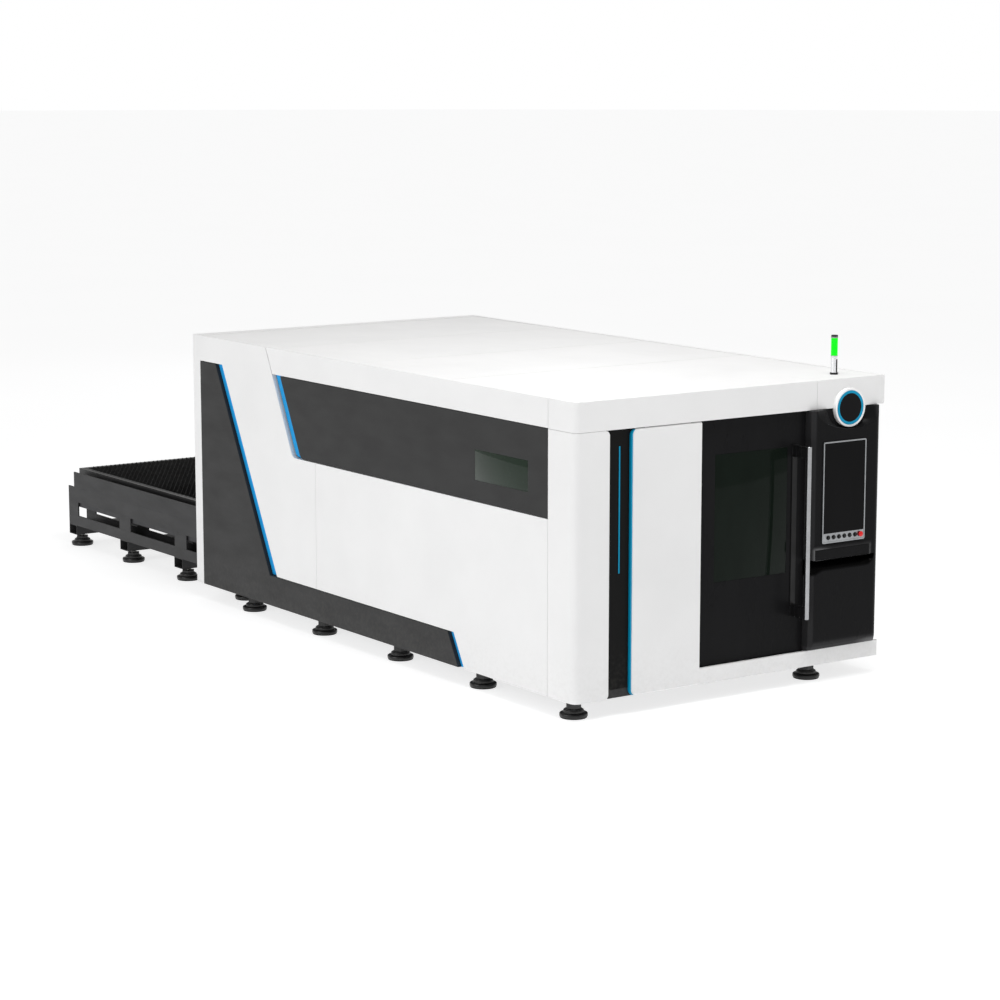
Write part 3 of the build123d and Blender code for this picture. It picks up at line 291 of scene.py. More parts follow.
@dataclass(frozen=True)
class Paint(Finish):
    """Sprayed or powder-coated paint, with its fine texture, a little dust and handling marks."""

    roughness: float = 0.42
    wear: Span = (0.04, 0.07)
    grain: Grain = Grain.POWDER_COAT
    edge: float = 0.0025
    gloss: float = 0.5
    deep: float = 0.95
    pale: float = 1.05
    dust: float = 0.10
    dust_colour: RGB = (136, 130, 122)
    dust_top: float = 0.55

    def mix(self, recipe: Recipe) -> None:
        """Cloud the colour, dull it towards the floor and give it orange peel."""
        clouds = recipe.noise(Clouds.TINT)
        tone = recipe.blend(clouds, self.shade(self.deep), self.shade(self.pale, LIFT))
        low = recipe.spread(recipe.height(), (0.0, self.dust_top), (1.0, 0.0))
        specks = recipe.spread(recipe.noise(Clouds.DUST), (0.42, 0.75))
        dusty = recipe.math("MULTIPLY", recipe.math("MULTIPLY", low, specks), self.dust)
        tone = recipe.blend(dusty, tone, srgb(*self.dust_colour))
        scuffs = recipe.noise(Clouds.SCUFFS)
        recipe.surface(
            Base_Color=tone,
            Roughness=recipe.spread(scuffs, MOST, around(self.roughness, self.wear)),
            Specular_IOR_Level=self.gloss,
        )
        texture, height = self.grain.value
        recipe.relief(recipe.noise(texture), height, self.edge)


@dataclass(frozen=True)
class Moulding(Finish):
    """Glossy lacquered plastic or glass-like panels."""

    roughness: float = 0.10
    wear: Span = (0.0, 0.08)
    gloss: float = 0.30
    edge: float = 0.003
    wiped: float = 1.25
    wiped_share: float = 0.5
    wave: float = 0.00035

    def mix(self, recipe: Recipe) -> None:
        """Leave the colour deep, with faint waves and wipe marks in the gloss."""
        wipes = recipe.noise(Clouds.WIPES)
        share = recipe.spread(wipes, (0.45, 0.8), (0.0, self.wiped_share))
        recipe.surface(
            Base_Color=recipe.blend(share, self.shade(), self.shade(self.wiped, LIFT)),
            Roughness=recipe.spread(wipes, (0.4, 0.75), around(self.roughness, self.wear)),
            Specular_IOR_Level=self.gloss,
        )
        recipe.relief(recipe.noise(Clouds.WAVES), self.wave, self.edge)


@dataclass(frozen=True)
class PaintedLightMoulding(Moulding):
    """Lacquered moulding with painted highlights on its edges and painted shade in its hollows.

    The mesh carries the painted light: 0 for painted shade in the hollows, a quarter on flat faces, a
    half for the painted highlight on the edges and towards 1 for a brighter painted highlight on the
    drawer's lip and the toe.
    """

    # Painted shade for the hollow, painted highlight for the edges, and a brighter painted highlight
    # for the lip and the toe.
    hollow: RGB = (3, 3, 3)
    edges: RGB = (46, 46, 47)
    pale: RGB = (112, 112, 113)

    def mix(self, recipe: Recipe) -> None:
        """Lay the painted shade and painted highlights over the plain lacquer, one after the other.
        """
        super().mix(recipe)
        tone = recipe.add("ShaderNodeAttribute", attribute_name=PAINTED_LIGHT_ATTRIBUTE).outputs["Fac"]
        mixed: object = srgb(*self.hollow)
        steps = (0.0, TONE_FLAT, EDGE_HIGHLIGHT_TONE, 1.0)
        for span, colour in zip(zip(steps, steps[1:]), (self.colour, self.edges, self.pale)):
            mixed = recipe.blend(recipe.spread(tone, span), mixed, srgb(*colour))
        recipe.surface(Base_Color=mixed)


@dataclass(frozen=True)
class Metal(Finish):
    """Bare or plated metal with a drawn grain."""

    roughness: float = 0.25
    wear: Span = (0.05, 0.07)
    stained: float = 0.80
    stain_share: float = 0.6
    stain_roughness: float = 0.06
    depth: float = 0.00002
    edge: float = 0.0012

    def mix(self, recipe: Recipe) -> None:
        """Draw the grain along one direction and stain the metal slightly."""
        lines, stains = recipe.noise(Clouds.DRAWN_LINES), recipe.noise(Clouds.STAINS)
        share = recipe.spread(stains, (0.4, 0.7), (0.0, self.stain_share))
        recipe.surface(
            Base_Color=recipe.blend(share, self.shade(), self.shade(self.stained)),
            Metallic=1.0,
            Roughness=recipe.math(
                "ADD",
                recipe.spread(lines, MOST, around(self.roughness, self.wear)),
                recipe.spread(stains, (0.4, 0.8), (0.0, self.stain_roughness)),
            ),
        )
        recipe.relief(lines, self.depth, self.edge)


@dataclass(frozen=True)
class ScorchedSteel(Finish):
    """Mild steel slats, oxidised dark and spattered where the beam has crossed them."""

    bare: RGB = (62, 62, 62)
    oxide: RGB = (52, 46, 41)
    oxide_share: float = 0.4
    metallic: Span = (0.35, 0.85)
    roughness: Span = (0.72, 0.46)
    beads: float = 210.0
    bead_height: float = 0.0006

    def mix(self, recipe: Recipe) -> None:
        """Mix scale, bare steel, brown oxide and beads of slag."""
        scale = recipe.noise(Clouds.MILL_SCALE)
        tone = recipe.blend(recipe.spread(scale, (0.42, 0.70)), self.shade(), srgb(*self.bare))
        oxide = recipe.spread(recipe.noise(Clouds.OXIDE), (0.56, 0.78), (0.0, self.oxide_share))
        tone = recipe.blend(oxide, tone, srgb(*self.oxide))
        beads = recipe.add(
            "ShaderNodeTexVoronoi", {"Vector": recipe.place, "Scale": self.beads}
        ).outputs["Distance"]
        slag = recipe.spread(beads, (0.10, 0.30), (1.0, 0.0))
        recipe.surface(
            Base_Color=tone,
            Metallic=recipe.spread(scale, (0.40, 0.70), self.metallic),
            Roughness=recipe.spread(scale, MOST, self.roughness),
        )
        recipe.relief(recipe.math("ADD", slag, scale), self.bead_height)


@dataclass(frozen=True)
class Rubber(Finish):
    """Black rubber pads."""

    bloom: RGB = (72, 71, 70)
    bloom_share: float = 0.35
    roughness: Span = (0.62, 0.82)
    gloss: float = 0.35
    crumb: float = 0.00018

    def mix(self, recipe: Recipe) -> None:
        """Bloom the black a little and keep it matt."""
        share = recipe.spread(recipe.noise(Clouds.BLOOM), (0.45, 0.75), (0.0, self.bloom_share))
        recipe.surface(
            Base_Color=recipe.blend(share, self.shade(), srgb(*self.bloom)),
            Roughness=recipe.spread(recipe.noise(Clouds.GRIP), MOST, self.roughness),
            Specular_IOR_Level=self.gloss,
        )
        recipe.relief(recipe.noise(Clouds.CRUMB), self.crumb)


@dataclass(frozen=True)
class LaserGlass(Finish):
    """Tinted sheet that stops the laser's light, with faint smears."""

    density: float = 0.8
    clear: float = 0.3
    gloss: float = 0.2
    roughness: Span = (0.02, 0.12)
    index: float = 1.49
    wave: float = 0.0002

    def mix(self, recipe: Recipe) -> None:
        """Tint the light that passes and haze it where hands and smoke have been."""
        smears = recipe.noise(Clouds.SMEARS)
        share = recipe.spread(smears, (0.35, 0.75))
        recipe.surface(
            Base_Color=recipe.blend(share, self.shade(), self.shade(self.density)),
            Roughness=recipe.spread(smears, (0.45, 0.8), self.roughness),
            Transmission_Weight=self.clear,
            IOR=self.index,
            Specular_IOR_Level=self.gloss,
        )
        recipe.relief(recipe.noise(Clouds.SHEET_WAVES), self.wave)


@dataclass(frozen=True)
class Lamp(Finish):
    """Coloured lens lit from inside."""

    glow: float = 1.2
    deep: float = 0.7
    roughness: Span = (0.12, 0.22)
    gloss: float = 0.2
    grain: float = 0.00004

    def mix(self, recipe: Recipe) -> None:
        """Let the light cloud a little inside the plastic."""
        clouds = recipe.noise(Clouds.LENS_CLOUD)
        tone = recipe.blend(clouds, self.shade(self.deep), self.shade())
        recipe.surface(
            Base_Color=tone,
            Emission_Color=tone,
            Emission_Strength=self.glow,
            Roughness=recipe.spread(recipe.noise(Clouds.LENS_HAZE), MOST, self.roughness),
            Specular_IOR_Level=self.gloss,
        )
        recipe.relief(recipe.noise(Clouds.LENS_GRAIN), self.grain)


WHITE = Paint("white powder coat", (238, 238, 238), "white_paint", roughness=0.40, gloss=0.4)
RIM_WHITE = Paint(
    "white badge rim", (250, 250, 250), "white_paint", roughness=0.16, grain=Grain.MOULDED,
    dust=0.0, gloss=1.0,
)
DARK_GREY = Paint(
    "dark grey powder coat", (40, 40, 40), "dark_grey_paint", roughness=0.46, gloss=0.25
)
BLACK = Paint("black powder coat", (20, 20, 20), "black_paint", roughness=0.40, gloss=0.06)
DOOR_BLACK = Moulding(
    "black door sheet", (25, 25, 26), "black_paint", roughness=0.26, gloss=0.04
)
BLUE = Paint(
    "blue accent strip", (0, 148, 190), "blue_light", roughness=0.35, dust=0.0, gloss=0.15
)
SIDE_BLUE = Paint(
    "side accent strip", (34, 160, 228), "blue_light", roughness=0.35, dust=0.0, gloss=0.15
)
GLOSS_BLACK = Moulding("black lacquer", (21, 21, 22), "black_gloss", roughness=0.22, gloss=0.06)
# Black lacquer for the console, with painted shade in its hollow and painted highlights on its edges,
# lip and toe.
CONSOLE_BLACK_WITH_PAINTED_LIGHT = PaintedLightMoulding(
    "black console moulding with painted light", (23, 23, 24), "black_gloss", roughness=0.24, gloss=0.05
)
SILVER = Metal("satin silver frame", (160, 162, 164), "silver", roughness=0.28)
SCREEN = Moulding("screen glass", (6, 6, 7), "screen_glass", roughness=0.05, gloss=0.08)
DOOR_GLASS = LaserGlass(
    "door laser glass", (22, 29, 24), "green_glass", clear=0.06, gloss=0.04
)
SIDE_GLASS = LaserGlass("side laser glass", (44, 58, 47), "green_glass", gloss=0.1)
CHROME = Metal("chromed bar", (166, 167, 169), "chrome", roughness=0.16)
TUBE = Metal("polished lamp tube", (240, 241, 243), "silver", roughness=0.20)
RED = Moulding("red stop cap", (226, 14, 16), "red_plastic", roughness=0.25, gloss=0.4)
BLACK_PLASTIC = Paint(
    "black plastic", (16, 16, 17), "black_plastic", roughness=0.38, grain=Grain.MOULDED, dust=0.05,
    gloss=0.3,
)
GREEN_LENS = Lamp("green lamp lens", (0, 228, 20), "green_lens", glow=0.62)
BED_GREY = Paint("bed paint", (92, 94, 97), "bed_paint", roughness=0.5, grain=Grain.CAST)
TABLE_GREY = Paint(
    "table paint", (47, 47, 48), "table_paint", roughness=0.46, edge=0.002, dust=0.04, gloss=0.25
)
PALLET_GREY = Paint(
    "pallet paint", (28, 28, 29), "table_paint", roughness=0.42, edge=0.003, dust=0.04, gloss=0.4
)
STEEL = Metal("bare steel", (176, 176, 174), "bare_steel", roughness=0.34)
# The rails inside the table get a darker steel than the other bare steel.
DARK_STEEL = Metal("dark rail steel", (58, 58, 60), "bare_steel", roughness=0.38)
SLAT = ScorchedSteel("scorched slat steel", (22, 22, 22), "slat_steel")
FOOT_BLACK = Paint(
    "blackened foot casting", (15, 15, 16), "foot_steel", roughness=0.30, grain=Grain.CAST,
    dust=0.03, gloss=0.5,
)
FOOT_RUBBER = Rubber("foot rubber", (14, 14, 14), "foot_steel")

NODE_FINISHES: dict[Finish, tuple[str, ...]] = {
    WHITE: (
        "corner_column", "front_panel", "base_sill", "front_cap", "console_cap",
        "side_panels_left", "side_panels_right", "roof_panels", "rear_frame",
    ),
    RIM_WHITE: ("badge_rim",),
    DARK_GREY: ("dark_panels", "groove_plates", "rear_wall", "enclosure_frame"),
    BLACK: ("front_strip", "door_tracks", "door_hangers"),
    DOOR_BLACK: ("door_leaf",),
    BLUE: ("front_accents",),
    SIDE_BLUE: ("accent_strips",),
    GLOSS_BLACK: ("console_body", "badge_face", "keyboard_drawer"),
    SILVER: ("screen_frame", "button_panel"),
    TUBE: ("tower_body",),
    SCREEN: ("touch_screen",),
    DOOR_GLASS: ("door_glass",),
    SIDE_GLASS: ("side_window",),
    CHROME: ("door_handle_bar",),
    RED: ("emergency_stop",),
    BLACK_PLASTIC: (*BUTTONS, "door_handle_mounts", "keyboard", "tower_base"),
    GREEN_LENS: ("tower_lens",),
    BED_GREY: ("bed_frame",),
    TABLE_GREY: ("table_side_frames", "table_cross_tubes", "gantry_beam"),
    PALLET_GREY: ("upper_pallet_frame", "lower_pallet_frame"),
    DARK_STEEL: ("table_rails",),
    STEEL: (
        "bed_rails", "upper_wheel_set_front", "upper_wheel_set_rear",
        "lower_wheel_set_front", "lower_wheel_set_rear", "cross_carriage", "head_slide",
        "cutting_head",
    ),
    SLAT: ("upper_pallet_slats", "lower_pallet_slats"),
    FOOT_BLACK: ("leveling_feet",),
}


def dress_nodes() -> None:
    """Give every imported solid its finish."""
    for finish, names in NODE_FINISHES.items():
        material = finish.build()
        for name in names:
            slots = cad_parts[name].data.materials
            slots.clear()
            slots.append(material)


@dataclass
class Body:
    """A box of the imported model, read once and asked for its sides."""

    node: str
    low: Vector = field(init=False)
    high: Vector = field(init=False)

    def __post_init__(self) -> None:
        """Read the node's box."""
        low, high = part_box(self.node)
        self.low, self.high = Vector(low), Vector(high)

    @property
    def middle(self) -> Vector:
        """Centre of the box."""
        return (self.low + self.high) / 2

    @property
    def size(self) -> Vector:
        """Lengths of the box along X, Y and Z."""
        return self.high - self.low


class Sides(IntEnum):
    """How many flat sides stand for a round one."""

    HEXAGON = 6
    SMALL = 32
    MIDDLE = 48
    LARGE = 64
    FINEST = 96


class Shape:
    """A mesh that is put together from simple closed forms, in metres, in its final place."""

    def __init__(self) -> None:
        """Start with nothing."""
        self.mesh = bmesh.new()

    def block(self, low: Sequence[float], high: Sequence[float], edge: float) -> "Shape":
        """Add a box between two corners, its edges rounded by a small radius."""
        middle = [(a + b) / 2 for a, b in zip(low, high)]
        sizes = [b - a for a, b in zip(low, high)]
        made = bmesh.ops.create_cube(
            self.mesh, matrix=Matrix.Translation(middle) @ Matrix.Diagonal((*sizes, 1.0))
        )
        edges = {e for vertex in made["verts"] for e in vertex.link_edges}
        bmesh.ops.bevel(
            self.mesh, geom=list(edges), offset=edge, segments=2, affect="EDGES", profile=0.5
        )
        return self

    def turned(
        self, profile: Sequence[Span], sides: Sides, centre: Point = ORIGIN, axis: Vector = UP
    ) -> "Shape":
        """Turn a closed profile round an axis.

        Args:
            profile: Radius and distance along the axis of each corner, first and last on
                the axis where the form has no hole.
            sides: How many flat sides stand for the round.
            centre: Point on the axis from which the distances are measured.
            axis: Direction of the axis.

        Returns:
            This shape, so that more can follow.
        """
        turn = axis.to_track_quat("Z", "Y").to_matrix().to_4x4()
        turn.translation = Vector(centre)
        rings: list[list[bmesh.types.BMVert]] = []
        for radius, along in profile:
            if radius < 1e-6:
                rings.append([self.mesh.verts.new(turn @ Vector((0, 0, along)))])
                continue
            rings.append([
                self.mesh.verts.new(turn @ Vector((
                    radius * math.cos(math.tau * step / sides),
                    radius * math.sin(math.tau * step / sides),
                    along,
                )))
                for step in range(sides)
            ])
        pairs = list(zip(rings, rings[1:]))
        if len(rings[0]) > 1:
            pairs.append((rings[-1], rings[0]))
        for first, second in pairs:
            for step in range(sides):
                after = (step + 1) % sides
                corners = [
                    first[step % len(first)], first[after % len(first)],
                    second[after % len(second)], second[step % len(second)],
                ]
                distinct = list(dict.fromkeys(corners))
                if len(distinct) > 2:
                    self.mesh.faces.new(distinct)
        return self

    def prism(self, outline: Sequence[Point], along: Point) -> "Shape":
        """Push a flat outline of points in space along a vector to make a closed form."""
        step = Vector(along)
        near = [self.mesh.verts.new(Vector(point)) for point in outline]
        far = [self.mesh.verts.new(Vector(point) + step) for point in outline]
        self.mesh.faces.new(near)
        self.mesh.faces.new(list(reversed(far)))
        for index in range(len(near)):
            after = (index + 1) % len(near)
            self.mesh.faces.new((near[index], far[index], far[after], near[after]))
        return self

    def to_mesh(self, name: str, smooth_angle: float = 32.0) -> bpy.types.Mesh:
        """Close the form into a mesh with its faces outwards.

        Args:
            name: Name of the mesh.
            smooth_angle: Edges flatter than this many degrees are shaded smooth.

        Returns:
            The finished mesh.
        """
        bmesh.ops.recalc_face_normals(self.mesh, faces=self.mesh.faces)
        mesh = bpy.data.meshes.new(name)
        self.mesh.to_mesh(mesh)
        self.mesh.free()
        mesh.shade_smooth()
        mesh.set_sharp_from_angle(angle=math.radians(smooth_angle))
        return mesh

    def place(
        self, name: str, finish: Finish, body: str = "machine", replaces: Iterable[str] = ()
    ) -> None:
        """Close the form and put it into the scene as a piece of the machine."""
        place_piece(name, self.to_mesh(name), finish, body, replaces)


def place_piece(
    name: str, mesh: bpy.types.Mesh, finish: Finish, body: str, replaces: Iterable[str] = ()
) -> None:
    """Put a finished mesh into the scene as a piece of the machine.

    Args:
        name: Name of the piece.
        mesh: Its mesh, in place.
        finish: What it is finished in.
        body: The body that it moves with.
        replaces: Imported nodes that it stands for.
    """
    mesh.materials.clear()
    mesh.materials.append(finish.build())
    piece = add_object(name, mesh)
    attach(piece, body)
    hidden = tuple(replaces)
    if hidden:
        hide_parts(*hidden)
    LOG.info("%s rides on %s with %d faces", name, body, len(mesh.polygons))


class Pattern:
    """A Geometry Nodes tree that repeats one form, applied once for each piece it makes."""

    def __init__(self, name: str) -> None:
        """Start an empty tree with a geometry output."""
        self.tree = bpy.data.node_groups.new(name, "GeometryNodeTree")
        self.graph = Graph(self.tree)
        self.ports: dict[str, str] = {}
        self.socket("Geometry", "OUTPUT", "Geometry")
        self.inputs = self.graph.add("NodeGroupInput")
        self.output = self.graph.add("NodeGroupOutput")

    def socket(self, name: str, side: str, kind: str) -> str:
        """Add an input or output to the whole tree and return its identifier."""
        return self.tree.interface.new_socket(
            name, in_out=side, socket_type=f"NodeSocket{kind}"
        ).identifier

    def port(self, name: str, kind: str) -> bpy.types.NodeSocket:
        """Add a named input of a kind such as Float, Int, Vector, Object or Material."""
        self.ports[name] = self.socket(name, "INPUT", kind)
        return next(s for s in self.inputs.outputs if s.identifier == self.ports[name])

    def close(self, geometry: bpy.types.NodeSocket, material: bpy.types.NodeSocket) -> None:
        """End the tree in real geometry with its material."""
        real = self.graph.add("GeometryNodeRealizeInstances", {0: geometry}).outputs[0]
        done = self.graph.add(
            "GeometryNodeSetMaterial", {"Geometry": real, "Material": material}
        ).outputs[0]
        self.tree.links.new(done, self.output.inputs[0])

    def grow(
        self,
        name: str,
        values: dict[str, object],
        finish: Finish,
        seed: bpy.types.Mesh | None = None,
    ) -> bpy.types.Mesh:
        """Run the tree and return what it makes as a plain mesh.

        Args:
            name: Name of the mesh.
            values: Values for the named inputs.
            finish: Material for the Material input.
            seed: Mesh that the tree starts from, where it needs one.

        Returns:
            A plain mesh with nothing live on it.
        """
        host = add_object(f"{name}_host", seed or bpy.data.meshes.new(f"{name}_host"))
        modifier = host.modifiers.new("pattern", "NODES")
        modifier.node_group = self.tree
        for key, value in {**values, "Material": finish.build()}.items():
            modifier[self.ports[key]] = value
        bpy.context.view_layer.update()
        grown = bpy.data.meshes.new_from_object(
            host.evaluated_get(bpy.context.evaluated_depsgraph_get())
        )
        grown.name = name
        host.modifiers.clear()
        bpy.data.objects.remove(host)
        return grown


class PointPattern(Pattern):
    """Puts one item on every point of a set of places."""

    def __init__(self) -> None:
        """Write the tree: points, the item and its turn."""
        super().__init__("item_on_points")
        places = self.port("Places", "Geometry")
        item, turn = self.port("Item", "Object"), self.port("Turn", "Rotation")
        info = self.graph.add("GeometryNodeObjectInfo", {"Object": item})
        spread = self.graph.add("GeometryNodeInstanceOnPoints", {
            "Points": places, "Instance": info.outputs["Geometry"], "Rotation": turn,
        })
        self.close(spread.outputs[0], self.port("Material", "Material"))

    def scatter(
        self,
        name: str,
        item: bpy.types.Mesh,
        places: Sequence[Point],
        finish: Finish,
        facing: Vector = UP,
    ) -> bpy.types.Mesh:
        """Repeat an item, made at the origin and facing up, at places in the machine.

        Args:
            name: Name of the mesh.
            item: The form to repeat.
            places: Where its origin goes.
            finish: Its finish.
            facing: Direction in which the item's own Z points.

        Returns:
            All the items as one mesh.
        """
        model = bpy.data.objects.new(f"{name}_item", item)
        points = bpy.data.meshes.new(f"{name}_points")
        points.from_pydata([tuple(place) for place in places], [], [])
        turn = facing.to_track_quat("Z", "Y").to_euler()
        grown = self.grow(name, {"Item": model, "Turn": turn}, finish, seed=points)
        bpy.data.objects.remove(model)
        return grown


@dataclass
class SlatPattern:
    """Rows of toothed slats, written as a rule: a strip whose top edge rises and falls."""

    thickness: float = 0.004
    tooth_pitch: float = 0.044
    tooth_depth: float = 0.030
    pitch: float = 0.072
    pattern: Pattern = field(init=False)

    def __post_init__(self) -> None:
        """Write the tree."""
        self.pattern = Pattern("toothed_slats")
        graph, port = self.pattern.graph, self.pattern.port
        width, height, depth, thick, pitch = (
            port(name, "Float") for name in ("Width", "Height", "Tooth depth", "Thickness", "Pitch")
        )
        teeth, count = port("Teeth", "Int"), port("Count", "Int")
        start, material = port("Start", "Vector"), port("Material", "Material")
        halves = graph.math("MULTIPLY", teeth, 2.0)
        grid = graph.add("GeometryNodeMeshGrid", {
            "Size X": width, "Size Y": height,
            "Vertices X": graph.math("ADD", halves, 1.0), "Vertices Y": 2,
        }).outputs[0]
        position = graph.add("GeometryNodeInputPosition").outputs[0]
        split = graph.add("ShaderNodeSeparateXYZ", {0: position})
        half_width = graph.math("DIVIDE", width, 2.0)
        column = graph.math(
            "DIVIDE",
            graph.math("ADD", split.outputs["X"], half_width),
            graph.math("DIVIDE", width, halves),
        )
        odd = graph.math("MODULO", graph.math("ROUND", column), 2.0)
        valley = graph.math("SUBTRACT", 1.0, odd)
        top = graph.math("GREATER_THAN", split.outputs["Y"], 0.0)
        drop = graph.math(
            "MULTIPLY", graph.math("MULTIPLY", valley, top), graph.math("MULTIPLY", depth, -1.0)
        )
        strip = graph.add("GeometryNodeSetPosition", {
            "Geometry": grid, "Offset": graph.add("ShaderNodeCombineXYZ", {"Y": drop}).outputs[0],
        }).outputs[0]
        upright = graph.add("GeometryNodeTransform", {
            "Geometry": strip, "Rotation": (math.pi / 2, 0.0, 0.0),
        }).outputs[0]
        pushed = graph.add("GeometryNodeExtrudeMesh", {
            "Mesh": upright, "Offset": (0.0, 1.0, 0.0), "Offset Scale": thick, "Individual": False,
        }).outputs[0]
        back = graph.add("GeometryNodeFlipFaces", {0: upright}).outputs[0]
        joined = graph.add("GeometryNodeJoinGeometry")
        self.pattern.tree.links.new(pushed, joined.inputs[0])
        self.pattern.tree.links.new(back, joined.inputs[0])
        slat = graph.add("GeometryNodeMergeByDistance", {"Geometry": joined.outputs[0]}).outputs[0]
        rows = graph.add("GeometryNodeMeshLine", {
            "Count": count, "Start Location": start,
            "Offset": graph.add("ShaderNodeCombineXYZ", {"Y": pitch}).outputs[0],
        }).outputs[0]
        many = graph.add("GeometryNodeInstanceOnPoints", {"Points": rows, "Instance": slat})
        self.pattern.close(many.outputs[0], material)

    def build(self, node: str, body: str) -> None:
        """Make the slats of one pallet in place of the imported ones.

        Args:
            node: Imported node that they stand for.
            body: Body that they move with.
        """
        box, name = Body(node), f"{body}_toothed_slats"
        teeth = round(box.size.x / self.tooth_pitch)
        count = int(box.size.y // self.pitch) + 1
        start_y = box.middle.y - self.pitch * (count - 1) / 2
        mesh = self.pattern.grow(name, {
            "Width": box.size.x, "Height": box.size.z, "Teeth": teeth,
            "Tooth depth": self.tooth_depth, "Thickness": self.thickness, "Count": count,
            "Pitch": self.pitch, "Start": (box.middle.x, start_y, box.middle.z),
        }, SLAT)
        clean = bmesh.new()
        clean.from_mesh(mesh)
        bmesh.ops.recalc_face_normals(clean, faces=clean.faces)
        clean.to_mesh(mesh)
        clean.free()
        place_piece(name, mesh, SLAT, body, [node])


@dataclass
class LevellingFeet:
    """Cast feet on rubber pads: pad, stepped collar, adjusting nut and threaded stem."""

    points: PointPattern
    pad_radius: float = 0.100
    pad_height: float = 0.010
    pad_inset: float = 0.004
    pad_edge: Offsets = ((-0.004, 0.0), (-0.001, 0.002))
    pad_seat: float = 0.001
    casting_top: float = 0.036
    chamfer: float = 0.003
    shoulder: Offsets = ((0.0, -0.007), (-0.002, -0.003), (-0.007, 0.0))
    fillet: Offsets = ((0.004, 0.001), (0.0, 0.004))
    collar_radius: float = 0.074
    collar_top: float = 0.058
    collar_edge: Offsets = (
        (0.0, -0.008), (-0.002, -0.006), (-0.002, -0.004), (-0.003, -0.001), (-0.006, 0.0),
    )
    nut_radius: float = 0.058
    nut_chamfer: float = 0.004
    washer_rim: float = 0.004
    washer_height: float = 0.005
    neck: float = 0.012
    stem_radius: float = 0.0238
    thread_pitch: float = 0.003
    thread_depth: float = 0.0014
    overlap: float = 0.001
    machine_top: float = 0.1396
    table_top: float = 0.0986
    machine_above: float = 0.12

    def casting(self) -> bpy.types.Mesh:
        """Draw the casting: a rounded disc with a groove, and the collar on it."""
        radius, low, chamfer = self.pad_radius, self.pad_height, self.chamfer
        profile = [
            (0, low), (radius - chamfer, low), (radius, low + chamfer),
            *corner(radius, self.casting_top, self.shoulder),
            *corner(self.collar_radius, self.casting_top, self.fillet),
            *corner(self.collar_radius, self.collar_top, self.collar_edge),
            (0, self.collar_top),
        ]
        return Shape().turned(profile, Sides.LARGE).to_mesh("foot_casting")

    def rubber(self) -> bpy.types.Mesh:
        """Draw the rubber pad under the casting."""
        radius, top = self.pad_radius - self.pad_inset, self.pad_height + self.pad_seat
        profile = [
            (0, 0), *corner(radius, 0.0, self.pad_edge), (radius, self.pad_height / 2),
            (radius, top), (0, top),
        ]
        return Shape().turned(profile, Sides.LARGE).to_mesh("foot_rubber")

    def nut(self, top: float) -> bpy.types.Mesh:
        """Draw the adjusting nut with its washer, up to the neck under the plate."""
        low, high, radius = self.collar_top, top - self.neck, self.nut_radius
        seat, rim, chamfer = low + self.washer_height, radius + self.washer_rim, self.nut_chamfer
        washer = [(0, low), (rim, low), (rim, seat), (radius, seat), (0, seat)]
        nut = [
            (0, seat), (radius - chamfer, seat), (radius, seat + chamfer),
            (radius, high - chamfer), (radius - chamfer, high), (0, high),
        ]
        shape = Shape().turned(washer, Sides.LARGE).turned(nut, Sides.HEXAGON)
        return shape.to_mesh("foot_nut", smooth_angle=20.0)

    def stem(self, top: float) -> bpy.types.Mesh:
        """Draw the threaded end of the stem between the nut and the plate it carries."""
        low, radius, pitch = top - self.neck - self.overlap, self.stem_radius, self.thread_pitch
        profile = [(0, low)]
        for turn in range(int((top - low) / pitch)):
            z = low + turn * pitch
            profile += [(radius, z), (radius - self.thread_depth, z + pitch / 2)]
        profile += [(radius, top), (0, top)]
        return Shape().turned(profile, Sides.SMALL).to_mesh("foot_stem")

    def build(self) -> None:
        """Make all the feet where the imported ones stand."""
        machine, table = self.places()
        everywhere = machine + table
        pieces = (
            ("foot_castings", self.casting(), everywhere, FOOT_BLACK),
            ("foot_pads", self.rubber(), everywhere, FOOT_RUBBER),
            ("machine_foot_nuts", self.nut(self.machine_top), machine, FOOT_BLACK),
            ("table_foot_nuts", self.nut(self.table_top), table, FOOT_BLACK),
            ("machine_foot_stems", self.stem(self.machine_top), machine, STEEL),
            ("table_foot_stems", self.stem(self.table_top), table, STEEL),
        )
        for index, (name, item, places, finish) in enumerate(pieces):
            mesh = self.points.scatter(name, item, places, finish)
            place_piece(name, mesh, finish, "machine", ["leveling_feet"] if index == 0 else ())

    def places(self) -> tuple[list[Point], list[Point]]:
        """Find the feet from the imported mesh: each pad is one island.

        Returns:
            Places on the floor under the enclosure, and those under the table.
        """
        mesh = bmesh.new()
        mesh.from_mesh(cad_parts["leveling_feet"].data)
        bmesh.ops.remove_doubles(mesh, verts=mesh.verts, dist=1e-5)
        left, machine, table = set(mesh.verts), [], []
        while left:
            island, front = set(), [left.pop()]
            while front:
                vertex = front.pop()
                island.add(vertex)
                for edge in vertex.link_edges:
                    other = edge.other_vert(vertex)
                    if other in left:
                        left.remove(other)
                        front.append(other)
            xs, ys = [v.co.x for v in island], [v.co.y for v in island]
            top = max(v.co.z for v in island)
            spot = ((min(xs) + max(xs)) / 2, (min(ys) + max(ys)) / 2, 0.0)
            (machine if top > self.machine_above else table).append(spot)
        mesh.free()
        return sorted(machine), sorted(table)


